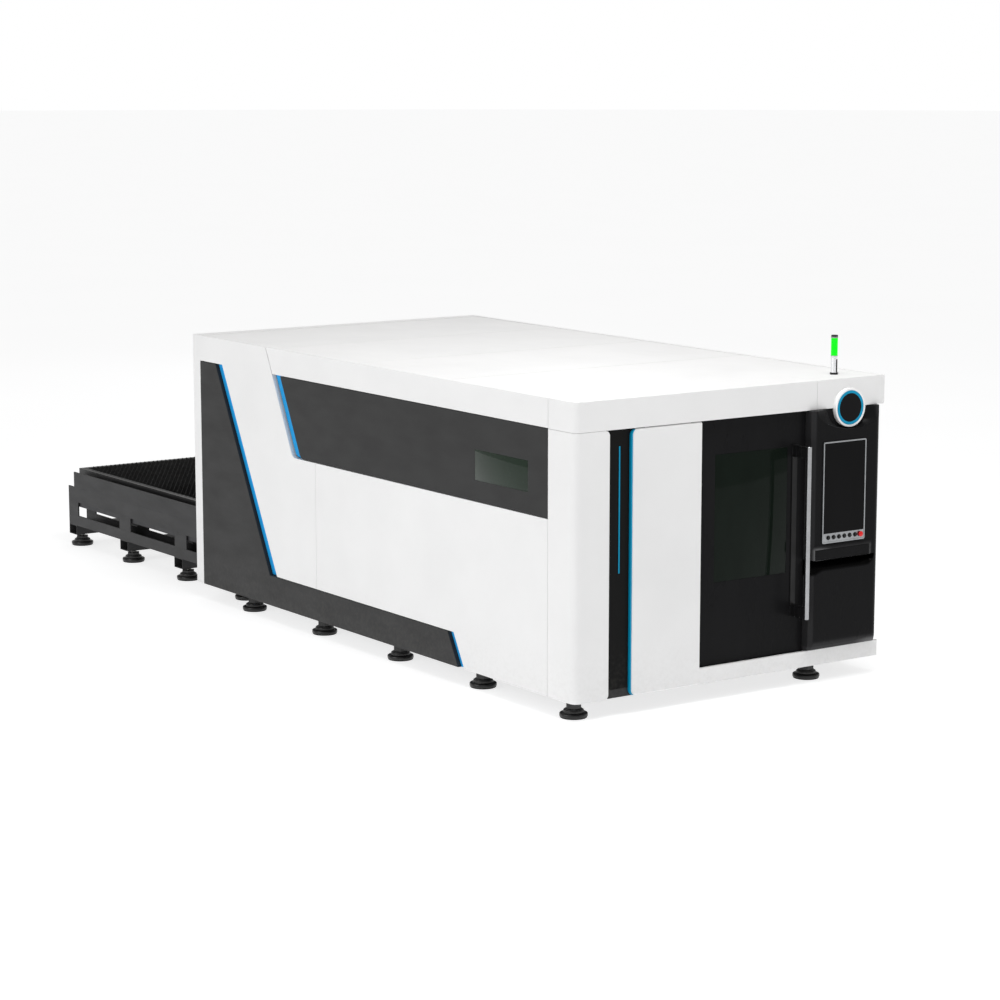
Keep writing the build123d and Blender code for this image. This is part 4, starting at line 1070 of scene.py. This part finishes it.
@dataclass
class Badge:
    """Round boss on the cap: a white rim, a blue ring and a dark face, left blank."""

    bore_gap: float = 0.0003
    rim_radius: float = 0.004
    rim_steps: int = 6
    rim_lip: Offsets = ((0.003, 0.0), (0.0003, -0.002))
    ring_width: float = 0.021
    ring_sunk: float = 0.001
    ring_edge: Offsets = ((-0.0004, -0.001), (-0.0004, 0.0), (-0.0012, 0.001))
    ring_bore: Offsets = ((0.0008, 0.001), (0.0, 0.0))

    def build(self) -> None:
        """Turn the rim and the ring about the badge's own axis."""
        rim, face = Body("badge_rim"), Body("badge_face")
        outer, inner = rim.size.x / 2, face.size.x / 2
        back, front = -rim.high.y, -rim.low.y
        centre, r = (rim.middle.x, 0.0, rim.middle.z), self.rim_radius
        profile = [(inner + self.bore_gap, back), (outer, back)]
        profile += [
            (outer - r + r * math.cos(angle), front - r + r * math.sin(angle))
            for angle in quarter(self.rim_steps, self.rim_steps + 1)
        ]
        profile += corner(inner, front, self.rim_lip)
        shape = Shape().turned(profile, Sides.FINEST, centre, TO_OPERATOR)
        shape.place("badge_white_rim", RIM_WHITE, replaces=["badge_rim"])
        depth, low = -face.low.y, inner - self.ring_width
        profile = [
            (low, depth - self.ring_sunk), *corner(inner, depth, self.ring_edge),
            *corner(low, depth, self.ring_bore),
        ]
        shape = Shape().turned(profile, Sides.FINEST, centre, TO_OPERATOR)
        shape.place("badge_blue_ring", BLUE)


@dataclass
class ConsoleForm:
    """The console's moulding in one smooth front, given as a depth for every place on it.

    The depths are measured back from the console's flat face. The left edge is bevelled, the
    right one round, and the face carries the scoop round the badge, the hood over the keyboard
    drawer, the drawer's bay, the finger hollow under it and the toe above the sill.
    """

    bevel: float = 0.031
    bevel_soft: float = 0.004
    corner: float = 0.057
    toe_gap: float = 0.008
    toe_height: float = 0.062
    toe_depth: float = 0.024
    toe_soft: float = 0.003
    hood_rise: float = 0.015
    hood_height: float = 0.038
    hood_curve: float = 1.7
    hood_sides: Span = (0.020, 0.040)
    hollow_gap: float = 0.002
    hollow_depth: float = 0.078
    hollow_height: float = 0.086
    hollow_end: float = 0.050
    hollow_end_round: float = 0.085
    hollow_notch: float = 0.036
    hollow_notch_run: float = 0.12
    hollow_steep: float = 0.75
    hollow_curve: float = 1.5
    scoop_outer: Span = (0.334, 0.150)
    scoop_inner: Span = (0.190, 0.147)
    scoop_curve: float = 0.8
    bay_inset: tuple[float, float, float, float] = (0.010, -0.010, 0.004, -0.008)
    bay_gap: float = 0.002
    rebate_gap: tuple[float, float, float, float] = (-0.0006, 0.0006, -0.0006, 0.0020)
    rebate_depth: float = 0.0005
    bore_depth: float = 0.030
    button_bore: float = 0.0085
    stop_bore: float = 0.0115
    # Spacing of the grid, closest spacing, and stretches of it with a spacing of their own.
    step: float = 0.009
    hair: float = 0.0003
    fine_left: Span = (0.05, 0.003)
    fine_right: Span = (0.058, 0.0035)
    fine_face: Point = (0.14, 0.05, 0.005)
    fine_toe: Span = (0.09, 0.004)
    fine_drawer: Point = (0.80, 1.05, 0.004)
    fine_top: Span = (1.86, 0.004)
    # Painted highlights and painted shade on the lacquer, and the runs from the left and right edge
    # over which they change.
    edge_highlight_depth: float = 0.008
    lip_highlight: float = 0.30
    lip_highlight_left: float = 0.45
    lip_highlight_run: Span = (0.20, 0.04)
    toe_highlight: float = 0.30
    toe_highlight_right: float = 0.45
    toe_highlight_run: Span = (0.25, 0.03)
    toe_highlight_rise: float = 1.6
    hollow_shade_depth: float = 0.006

    def __post_init__(self) -> None:
        """Read the places of the pieces that the moulding is shaped round."""
        self.body, self.drawer = Body("console_body"), Body("keyboard_drawer")
        self.badge, self.sill = Body("badge_rim").middle, Body("base_sill")
        self.face = Body("button_panel").high.y
        self.toe_low = self.sill.high.z + self.toe_gap
        low, high = self.drawer.low, self.drawer.high
        sides = (low.x, high.x, low.z, high.z)
        self.bay = tuple(side + inset for side, inset in zip(sides, self.bay_inset))
        self.rebate = tuple(side + gap for side, gap in zip(sides, self.rebate_gap))
        self.hollow_top = low.z - self.hollow_gap
        stems = [(Body(name).middle, self.button_bore) for name in BUTTONS]
        stems.append((Body("emergency_stop").middle, self.stop_bore))
        self.bores = [(m.x - r, m.x + r, m.z - r, m.z + r) for m, r in stems]

    @staticmethod
    def inside(x: float, z: float, field_: Sequence[float]) -> bool:
        """Tell whether a place lies within a rectangle of the face."""
        return field_[0] < x < field_[1] and field_[2] < z < field_[3]

    @staticmethod
    def ramp(value: float, low: float, high: float) -> float:
        """Rise softly from 0 to 1 between two values, or fall where they are the other way."""
        share = held((value - low) / (high - low))
        return share * share * (3 - 2 * share)

    def edges(self, x: float, z: float) -> float:
        """Depth of the bevel, the round corner and the toe together."""
        over = self.bevel - (x - self.body.low.x)
        left = (over + math.hypot(over, self.bevel_soft)) / 2
        inset = max(0.0, self.corner - (self.body.high.x - x))
        right = self.corner - math.sqrt(max(0.0, self.corner ** 2 - inset ** 2))
        under = (self.toe_height - (z - self.toe_low)) * self.toe_depth / self.toe_height
        toe = (under + math.hypot(under, self.toe_soft)) / 2
        return math.hypot(left, right, toe)

    def scoop(self, x: float, z: float) -> float:
        """Depth of the scoop round the badge."""
        dx, dz = x - self.badge.x, z - self.badge.z
        outer, inner = (
            math.hypot(dx / wide, dz / high) for wide, high in (self.scoop_outer, self.scoop_inner)
        )
        if outer >= 1:
            return 0.0
        share = 1.0 if inner <= 1 else (1 - outer) / ((1 - outer) + (inner - 1))
        return (self.sill.low.y - self.face) * share ** self.scoop_curve

    def hood(self, x: float, z: float) -> float:
        """Rise of the hood over and beside the drawer."""
        left, right, _, high = self.rebate
        before, after = self.hood_sides
        across = self.ramp(x, left - before, left) * self.ramp(x, right + after, right)
        up = held((high + self.hood_height - z) / self.hood_height) ** self.hood_curve
        return self.hood_rise * across * up if z > self.hollow_top else 0.0

    def hollow(self, x: float, z: float) -> float:
        """Depth of the hollow, which runs out at the left edge and is rounded at the right."""
        end, start = self.body.high.x - self.hollow_end, self.body.low.x
        if x >= end or z >= self.hollow_top:
            return 0.0
        notch = self.hollow_notch * self.ramp(x, start + self.hollow_notch_run, start)
        near = max(0.0, 1 - (end - x) / self.hollow_end_round)
        height = (self.hollow_height + notch) * math.sqrt(max(0.0, 1 - near ** 2))
        if height <= 0:
            return 0.0
        share = held((z - (self.hollow_top - height)) / height)
        steep = self.hollow_steep
        return self.hollow_depth * ((1 - steep) * share + steep * share ** self.hollow_curve)

    def depth(self, x: float, z: float) -> float:
        """Depth of the moulding behind its flat face at a place, in metres."""
        if z < self.toe_low:
            return self.sill.high.y - self.face
        if self.inside(x, z, self.bay):
            return self.drawer.high.y + self.bay_gap - self.face
        if any(self.inside(x, z, bore) for bore in self.bores):
            return self.bore_depth
        if self.inside(x, z, self.rebate):
            return self.rebate_depth
        return max(self.edges(x, z), self.scoop(x, z), self.hollow(x, z)) - self.hood(x, z)

    def tone(self, x: float, z: float) -> float:
        """Painted light on the lacquer at a place: painted shade in the hollow, painted highlights on
        the edges, the lip and the toe.
        """
        low, high = self.body.low.x, self.body.high.x
        # Painted highlight on the bevel, the round corner and the toe's edge.
        edge = (EDGE_HIGHLIGHT_TONE - TONE_FLAT) * min(1.0, self.edges(x, z) / self.edge_highlight_depth)
        # Painted highlight on the drawer's lip, stronger towards the left.
        left = self.ramp(x, *(low + run for run in self.lip_highlight_run))
        lip = self.hood(x, z) / self.hood_rise * (self.lip_highlight + self.lip_highlight_left * left)
        # Painted highlight along the toe, brighter towards the right corner.
        under = max(0.0, 1 - (z - self.toe_low) / self.toe_height) if z > self.toe_low else 0.0
        right = self.ramp(x, *(high - run for run in self.toe_highlight_run))
        toe = self.toe_highlight * min(1.0, self.toe_highlight_rise * under)
        toe += self.toe_highlight_right * under * right
        # Painted shade in the finger hollow.
        dark = min(1.0, self.hollow(x, z) / self.hollow_shade_depth)
        return TONE_FLAT + max(edge, lip, toe) * (1 - dark) - TONE_FLAT * dark

    def lines(
        self, low: float, high: float, cuts: Iterable[float], fine: Sequence[Sequence[float]]
    ) -> list[float]:
        """Choose the grid's lines along one direction.

        Args:
            low: Where the moulding starts.
            high: Where it ends.
            cuts: Places of upright walls, which get a line close to either side.
            fine: Stretches with their own spacing, as start, end and step.

        Returns:
            The lines in order, no two closer than the walls need.
        """
        marks = {low, high}
        count = math.ceil((high - low) / self.step)
        marks.update(low + (high - low) * index / count for index in range(1, count))
        for start, end, step in fine:
            pieces = math.ceil((end - start) / step)
            marks.update(start + (end - start) * index / pieces for index in range(pieces + 1))
        walls = [w for w in cuts if low < w < high]
        marks = {
            m for m in marks if all(abs(m - w) > 2 * self.hair for w in walls) and low <= m <= high
        }
        marks.update(w + side * self.hair for w in walls for side in (-1, 1))
        kept: list[float] = []
        for mark in sorted(marks):
            if not kept or mark - kept[-1] > self.hair * 0.9:
                kept.append(mark)
        return kept

    def build(self) -> None:
        """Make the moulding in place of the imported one."""
        low, high = self.body.low, self.body.high
        fields = [self.bay, self.rebate, *self.bores]
        left, right, face, toe = self.fine_left, self.fine_right, self.fine_face, self.fine_toe
        xs = self.lines(
            low.x, high.x, [edge for box in fields for edge in box[:2]],
            [(low.x, low.x + left[0], left[1]), (high.x - right[0], high.x, right[1]),
             (high.x - face[0], high.x - face[1], face[2])],
        )
        zs = self.lines(
            low.z, high.z, [self.toe_low, self.hollow_top, *[e for box in fields for e in box[2:]]],
            [(self.toe_low, self.toe_low + toe[0], toe[1]), self.fine_drawer,
             (self.fine_top[0], high.z, self.fine_top[1])],
        )
        shape = Shape()
        corners, faces = shape.mesh.verts, shape.mesh.faces
        front = [[corners.new((x, self.face + self.depth(x, z), z)) for x in xs] for z in zs]
        for below, above in zip(front, front[1:]):
            for column in range(len(xs) - 1):
                after = column + 1
                faces.new((below[column], below[after], above[after], above[column]))
        rim = [*front[0], *[row[-1] for row in front[1:]], *reversed(front[-1][:-1])]
        rim += [row[0] for row in reversed(front[1:-1])]
        back = [corners.new((v.co.x, high.y, v.co.z)) for v in rim]
        for index in range(len(rim)):
            after = (index + 1) % len(rim)
            faces.new((rim[after], rim[index], back[index], back[after]))
        faces.new(back)
        moulding = shape.to_mesh("console_moulding", smooth_angle=38.0)
        # Store the painted shade and painted highlights at every corner of the mesh.
        tones = moulding.attributes.new(PAINTED_LIGHT_ATTRIBUTE, "FLOAT", "POINT")
        for vertex, tone in zip(moulding.vertices, tones.data):
            tone.value = self.tone(vertex.co.x, vertex.co.z)
        place_piece("console_moulding", moulding, CONSOLE_BLACK_WITH_PAINTED_LIGHT, "machine", ["console_body"])


@dataclass
class Controls:
    """Bezels round the six buttons, and the mushroom of the emergency stop."""

    points: PointPattern
    bezel: Offsets = (
        (0.0125, 0.0), (0.0172, 0.0), (0.0172, 0.0012), (0.0162, 0.0026), (0.0132, 0.0026),
        (0.0125, 0.0016),
    )
    bezel_seat: float = 0.0001
    neck: Offsets = ((0.0098, -0.0142), (0.0165, -0.0139))
    cap_edge: Offsets = ((-0.0008, -0.0135), (0.0, -0.0115))
    dome: float = 0.0105
    dome_curve: float = 0.75
    dome_steps: int = 9

    def build(self) -> None:
        """Make the bezels and the stop."""
        item = Shape().turned(self.bezel, Sides.SMALL).to_mesh("bezel")
        seat = Body("button_panel").low.y - self.bezel_seat
        places = [(middle.x, seat, middle.z) for middle in (Body(name).middle for name in BUTTONS)]
        rings = self.points.scatter("button_bezels", item, places, BLACK_PLASTIC, TO_OPERATOR)
        place_piece("button_bezels", rings, BLACK_PLASTIC, "machine")
        self.stop()

    def stop(self) -> None:
        """Turn the emergency stop: a neck under a domed cap."""
        stop = Body("emergency_stop")
        back, front, radius, dome = -stop.high.y, -stop.low.y, stop.size.x / 2, self.dome
        profile = [(0, back), (self.neck[0][0], back), *corner(0.0, front, self.neck)]
        profile += corner(radius, front, self.cap_edge)
        profile += [
            (radius * math.cos(angle) ** self.dome_curve, front - dome + dome * math.sin(angle))
            for angle in quarter(self.dome_steps, self.dome_steps)
        ]
        profile.append((0, front))
        centre = (stop.middle.x, 0.0, stop.middle.z)
        shape = Shape().turned(profile, Sides.MIDDLE, centre, TO_OPERATOR)
        shape.place("stop_mushroom", RED, "stop_button", ["emergency_stop"])


@dataclass
class Windows:
    """Tinted panes that lie flush in their openings, as the photograph shows them."""

    thickness: float = 0.008
    gap: float = 0.0008
    sunk: float = 0.0005
    edge: float = 0.0006

    def pane(self, name: str, glass: str, sheet: str, axis: int, body: str, finish: Finish) -> None:
        """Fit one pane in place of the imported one.

        Args:
            name: Name of the pane.
            glass: Packed pane that it stands for.
            sheet: Packed sheet whose face it is flush with.
            axis: 0 where the sheet is seen along X, 1 along Y.
            body: Body that it moves with.
            finish: Its glass.
        """
        box, face = Body(glass), Body(sheet).low[axis]
        gap = Vector((self.gap, self.gap, self.gap))
        low, high = box.low + gap, box.high - gap
        low[axis], high[axis] = face + self.sunk, face + self.sunk + self.thickness
        Shape().block(low, high, self.edge).place(name, finish, body, [glass])

    def build(self) -> None:
        """Fit the door's pane and the side window's."""
        self.pane("door_pane", "door_glass", "door_leaf", 1, "door", DOOR_GLASS)
        self.pane("side_pane", "side_window", "dark_panels", 0, "machine", SIDE_GLASS)


@dataclass
class Tower:
    """Details of the signal lamp: the black strip down its tube and the ring under its cap."""

    strip_facing: float = -75.0
    strip_width: float = 40.0
    strip_steps: int = 6
    strip_length: float = 0.80
    strip_low: float = 0.001
    strip_sunk: float = 0.002
    strip_proud: float = 0.0008
    rings: Offsets = ((-0.001, 0.009), (0.0, 0.004))
    ring_sunk: float = 0.002
    ring_proud: float = 0.0006

    def build(self) -> None:
        """Fit the strip and the rings."""
        tube, lens = Body("tower_body"), Body("tower_lens")
        x, y, _ = tube.middle
        radius, count = tube.size.x / 2, self.strip_steps
        angles = [
            math.radians(self.strip_facing) + math.radians(self.strip_width) * (step / count - 0.5)
            for step in range(count + 1)
        ]
        outline = [
            (x + r * math.cos(angle), y + r * math.sin(angle), tube.low.z + self.strip_low)
            for r, run in (
                (radius - self.strip_sunk, angles), (radius + self.strip_proud, angles[::-1]),
            )
            for angle in run
        ]
        shape = Shape().prism(outline, (0.0, 0.0, tube.size.z * self.strip_length))
        shape.place("tower_strip", BLACK_PLASTIC)
        shape = Shape()
        inner, outer = lens.size.x / 2 - self.ring_sunk, lens.size.x / 2 + self.ring_proud
        for seat, (below, above) in zip((lens.high.z, lens.low.z), self.rings):
            low, high = seat + below, seat + above
            ring = [(inner, low), (outer, low), (outer, high), (inner, high)]
            shape.turned(ring, Sides.MIDDLE, (x, y, 0.0))
        shape.place("tower_rings", SILVER)


@dataclass
class WearStrips:
    """Bare steel strips along the top of each pallet's side rails."""

    width: float = 0.005
    height: float = 0.0012
    inset: float = 0.002
    end_gap: float = 0.01
    seat: float = 0.0001
    edge: float = 0.0005

    def build(self) -> None:
        """Lay two strips on each pallet."""
        for level in ("upper", "lower"):
            box = Body(f"{level}_pallet_frame")
            shape = Shape()
            for start in (box.low.x + self.inset, box.high.x - self.inset - self.width):
                shape.block(
                    (start, box.low.y + self.end_gap, box.high.z - self.seat),
                    (start + self.width, box.high.y - self.end_gap, box.high.z + self.height),
                    self.edge,
                )
            shape.place(f"{level}_wear_strips", STEEL, f"{level}_pallet")


@dataclass(frozen=True)
class SoftBox:
    """A square soft light that points at a target."""

    name: str
    place: Point
    target: Point
    size: float
    power: float

    def hang(self) -> None:
        """Put the light into the scene."""
        data = bpy.data.lights.new(self.name, "AREA")
        data.size, data.energy = self.size, self.power
        lamp = add_object(self.name, data)
        lamp.location = self.place
        towards = Vector(self.target) - Vector(self.place)
        lamp.rotation_euler = towards.to_track_quat("-Z", "Y").to_euler()


@dataclass
class Studio:
    """Pale floor, soft lights and the camera at the photograph's angle."""

    camera_place: Point = (-12.4391, -19.0796, 4.6744)
    camera_tilt: float = 80.522
    camera_turn: float = -34.736
    lens: float = 99.88
    sensor: float = 36.0
    sight: float = 400.0
    floor_radius: float = 160.0
    floor_colours: tuple[RGB, RGB] = ((178, 179, 180), (184, 185, 186))
    floor_roughness: float = 0.9
    floor_gloss: float = 0.1
    floor_glow: float = 0.745
    fill: float = 0.43
    fill_colour: RGB = (255, 254, 253)
    backdrop: float = 1.0
    lights: tuple[SoftBox, ...] = (
        SoftBox("key", (-14.0, -1.5, 6.0), (0.0, -0.5, 1.0), 7.0, 420.0),
        SoftBox("top", (-0.5, -5.0, 9.0), (0.0, -3.0, 0.0), 5.0, 480.0),
        SoftBox("back", (9.0, 14.0, 7.0), (0.0, 1.0, 1.0), 7.0, 90.0),
    )

    def build(self) -> None:
        """Set up everything that isn't the machine."""
        self.floor()
        for light in self.lights:
            light.hang()
        self.world()
        self.camera()
        bpy.context.scene.view_settings.view_transform = "Standard"

    def floor(self) -> None:
        """Lay a very large pale disc as the floor."""
        mesh = bpy.data.meshes.new("floor")
        shape = bmesh.new()
        bmesh.ops.create_circle(shape, cap_ends=True, radius=self.floor_radius, segments=Sides.FINEST)
        shape.to_mesh(mesh)
        shape.free()
        floor = add_object("floor", mesh)
        recipe = Recipe("studio floor")
        dark, pale = (srgb(*colour) for colour in self.floor_colours)
        recipe.surface(
            Base_Color=recipe.blend(recipe.noise(Clouds.FLOOR), dark, pale),
            Roughness=self.floor_roughness, Specular_IOR_Level=self.floor_gloss,
            Emission_Color=srgb(*WHITE_LIGHT), Emission_Strength=self.floor_glow,
        )
        mesh.materials.append(recipe.material)
        floor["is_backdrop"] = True

    def world(self) -> None:
        """Surround the scene with even light, and show the camera a clean backdrop."""
        world = bpy.data.worlds.new("studio")
        world.use_nodes = True
        graph = Graph(world.node_tree)
        graph.tree.nodes.clear()
        even, seen = (
            graph.add("ShaderNodeBackground", {"Color": srgb(*colour), "Strength": strength})
            for colour, strength in ((self.fill_colour, self.fill), (WHITE_LIGHT, self.backdrop))
        )
        choice = graph.add("ShaderNodeMixShader", {
            0: graph.add("ShaderNodeLightPath").outputs["Is Camera Ray"],
            1: even.outputs[0], 2: seen.outputs[0],
        })
        graph.add("ShaderNodeOutputWorld", {"Surface": choice.outputs[0]})
        bpy.context.scene.world = world

    def camera(self) -> None:
        """Stand the camera where the photograph was taken from."""
        data = bpy.data.cameras.new("photograph")
        data.lens, data.sensor_width, data.clip_end = self.lens, self.sensor, self.sight
        camera = add_object("photograph", data)
        camera.location = self.camera_place
        camera.rotation_euler = (math.radians(self.camera_tilt), 0.0, math.radians(self.camera_turn))
        bpy.context.scene.camera = camera


def write_sizes(packed: Sequence[Vector]) -> None:
    boxes = {"cad": packed, "visual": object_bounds()}
    {name: [list(corner) for corner in box] for name, box in boxes.items()}


def main() -> None:
    """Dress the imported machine, piece by piece, and set up the studio."""
    logging.basicConfig(level=logging.INFO, format="%(name)s: %(message)s")
    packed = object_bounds()
    dress_nodes()
    points = PointPattern()
    for part in (
        Studio(), LevellingFeet(points), Badge(), ConsoleForm(), Controls(points), Windows(),
        Tower(), WearStrips(),
    ):
        part.build()
    slats = SlatPattern()
    slats.build("upper_pallet_slats", "upper_pallet")
    slats.build("lower_pallet_slats", "lower_pallet")
    write_sizes(packed)


if __name__ == "__main__":
    main()
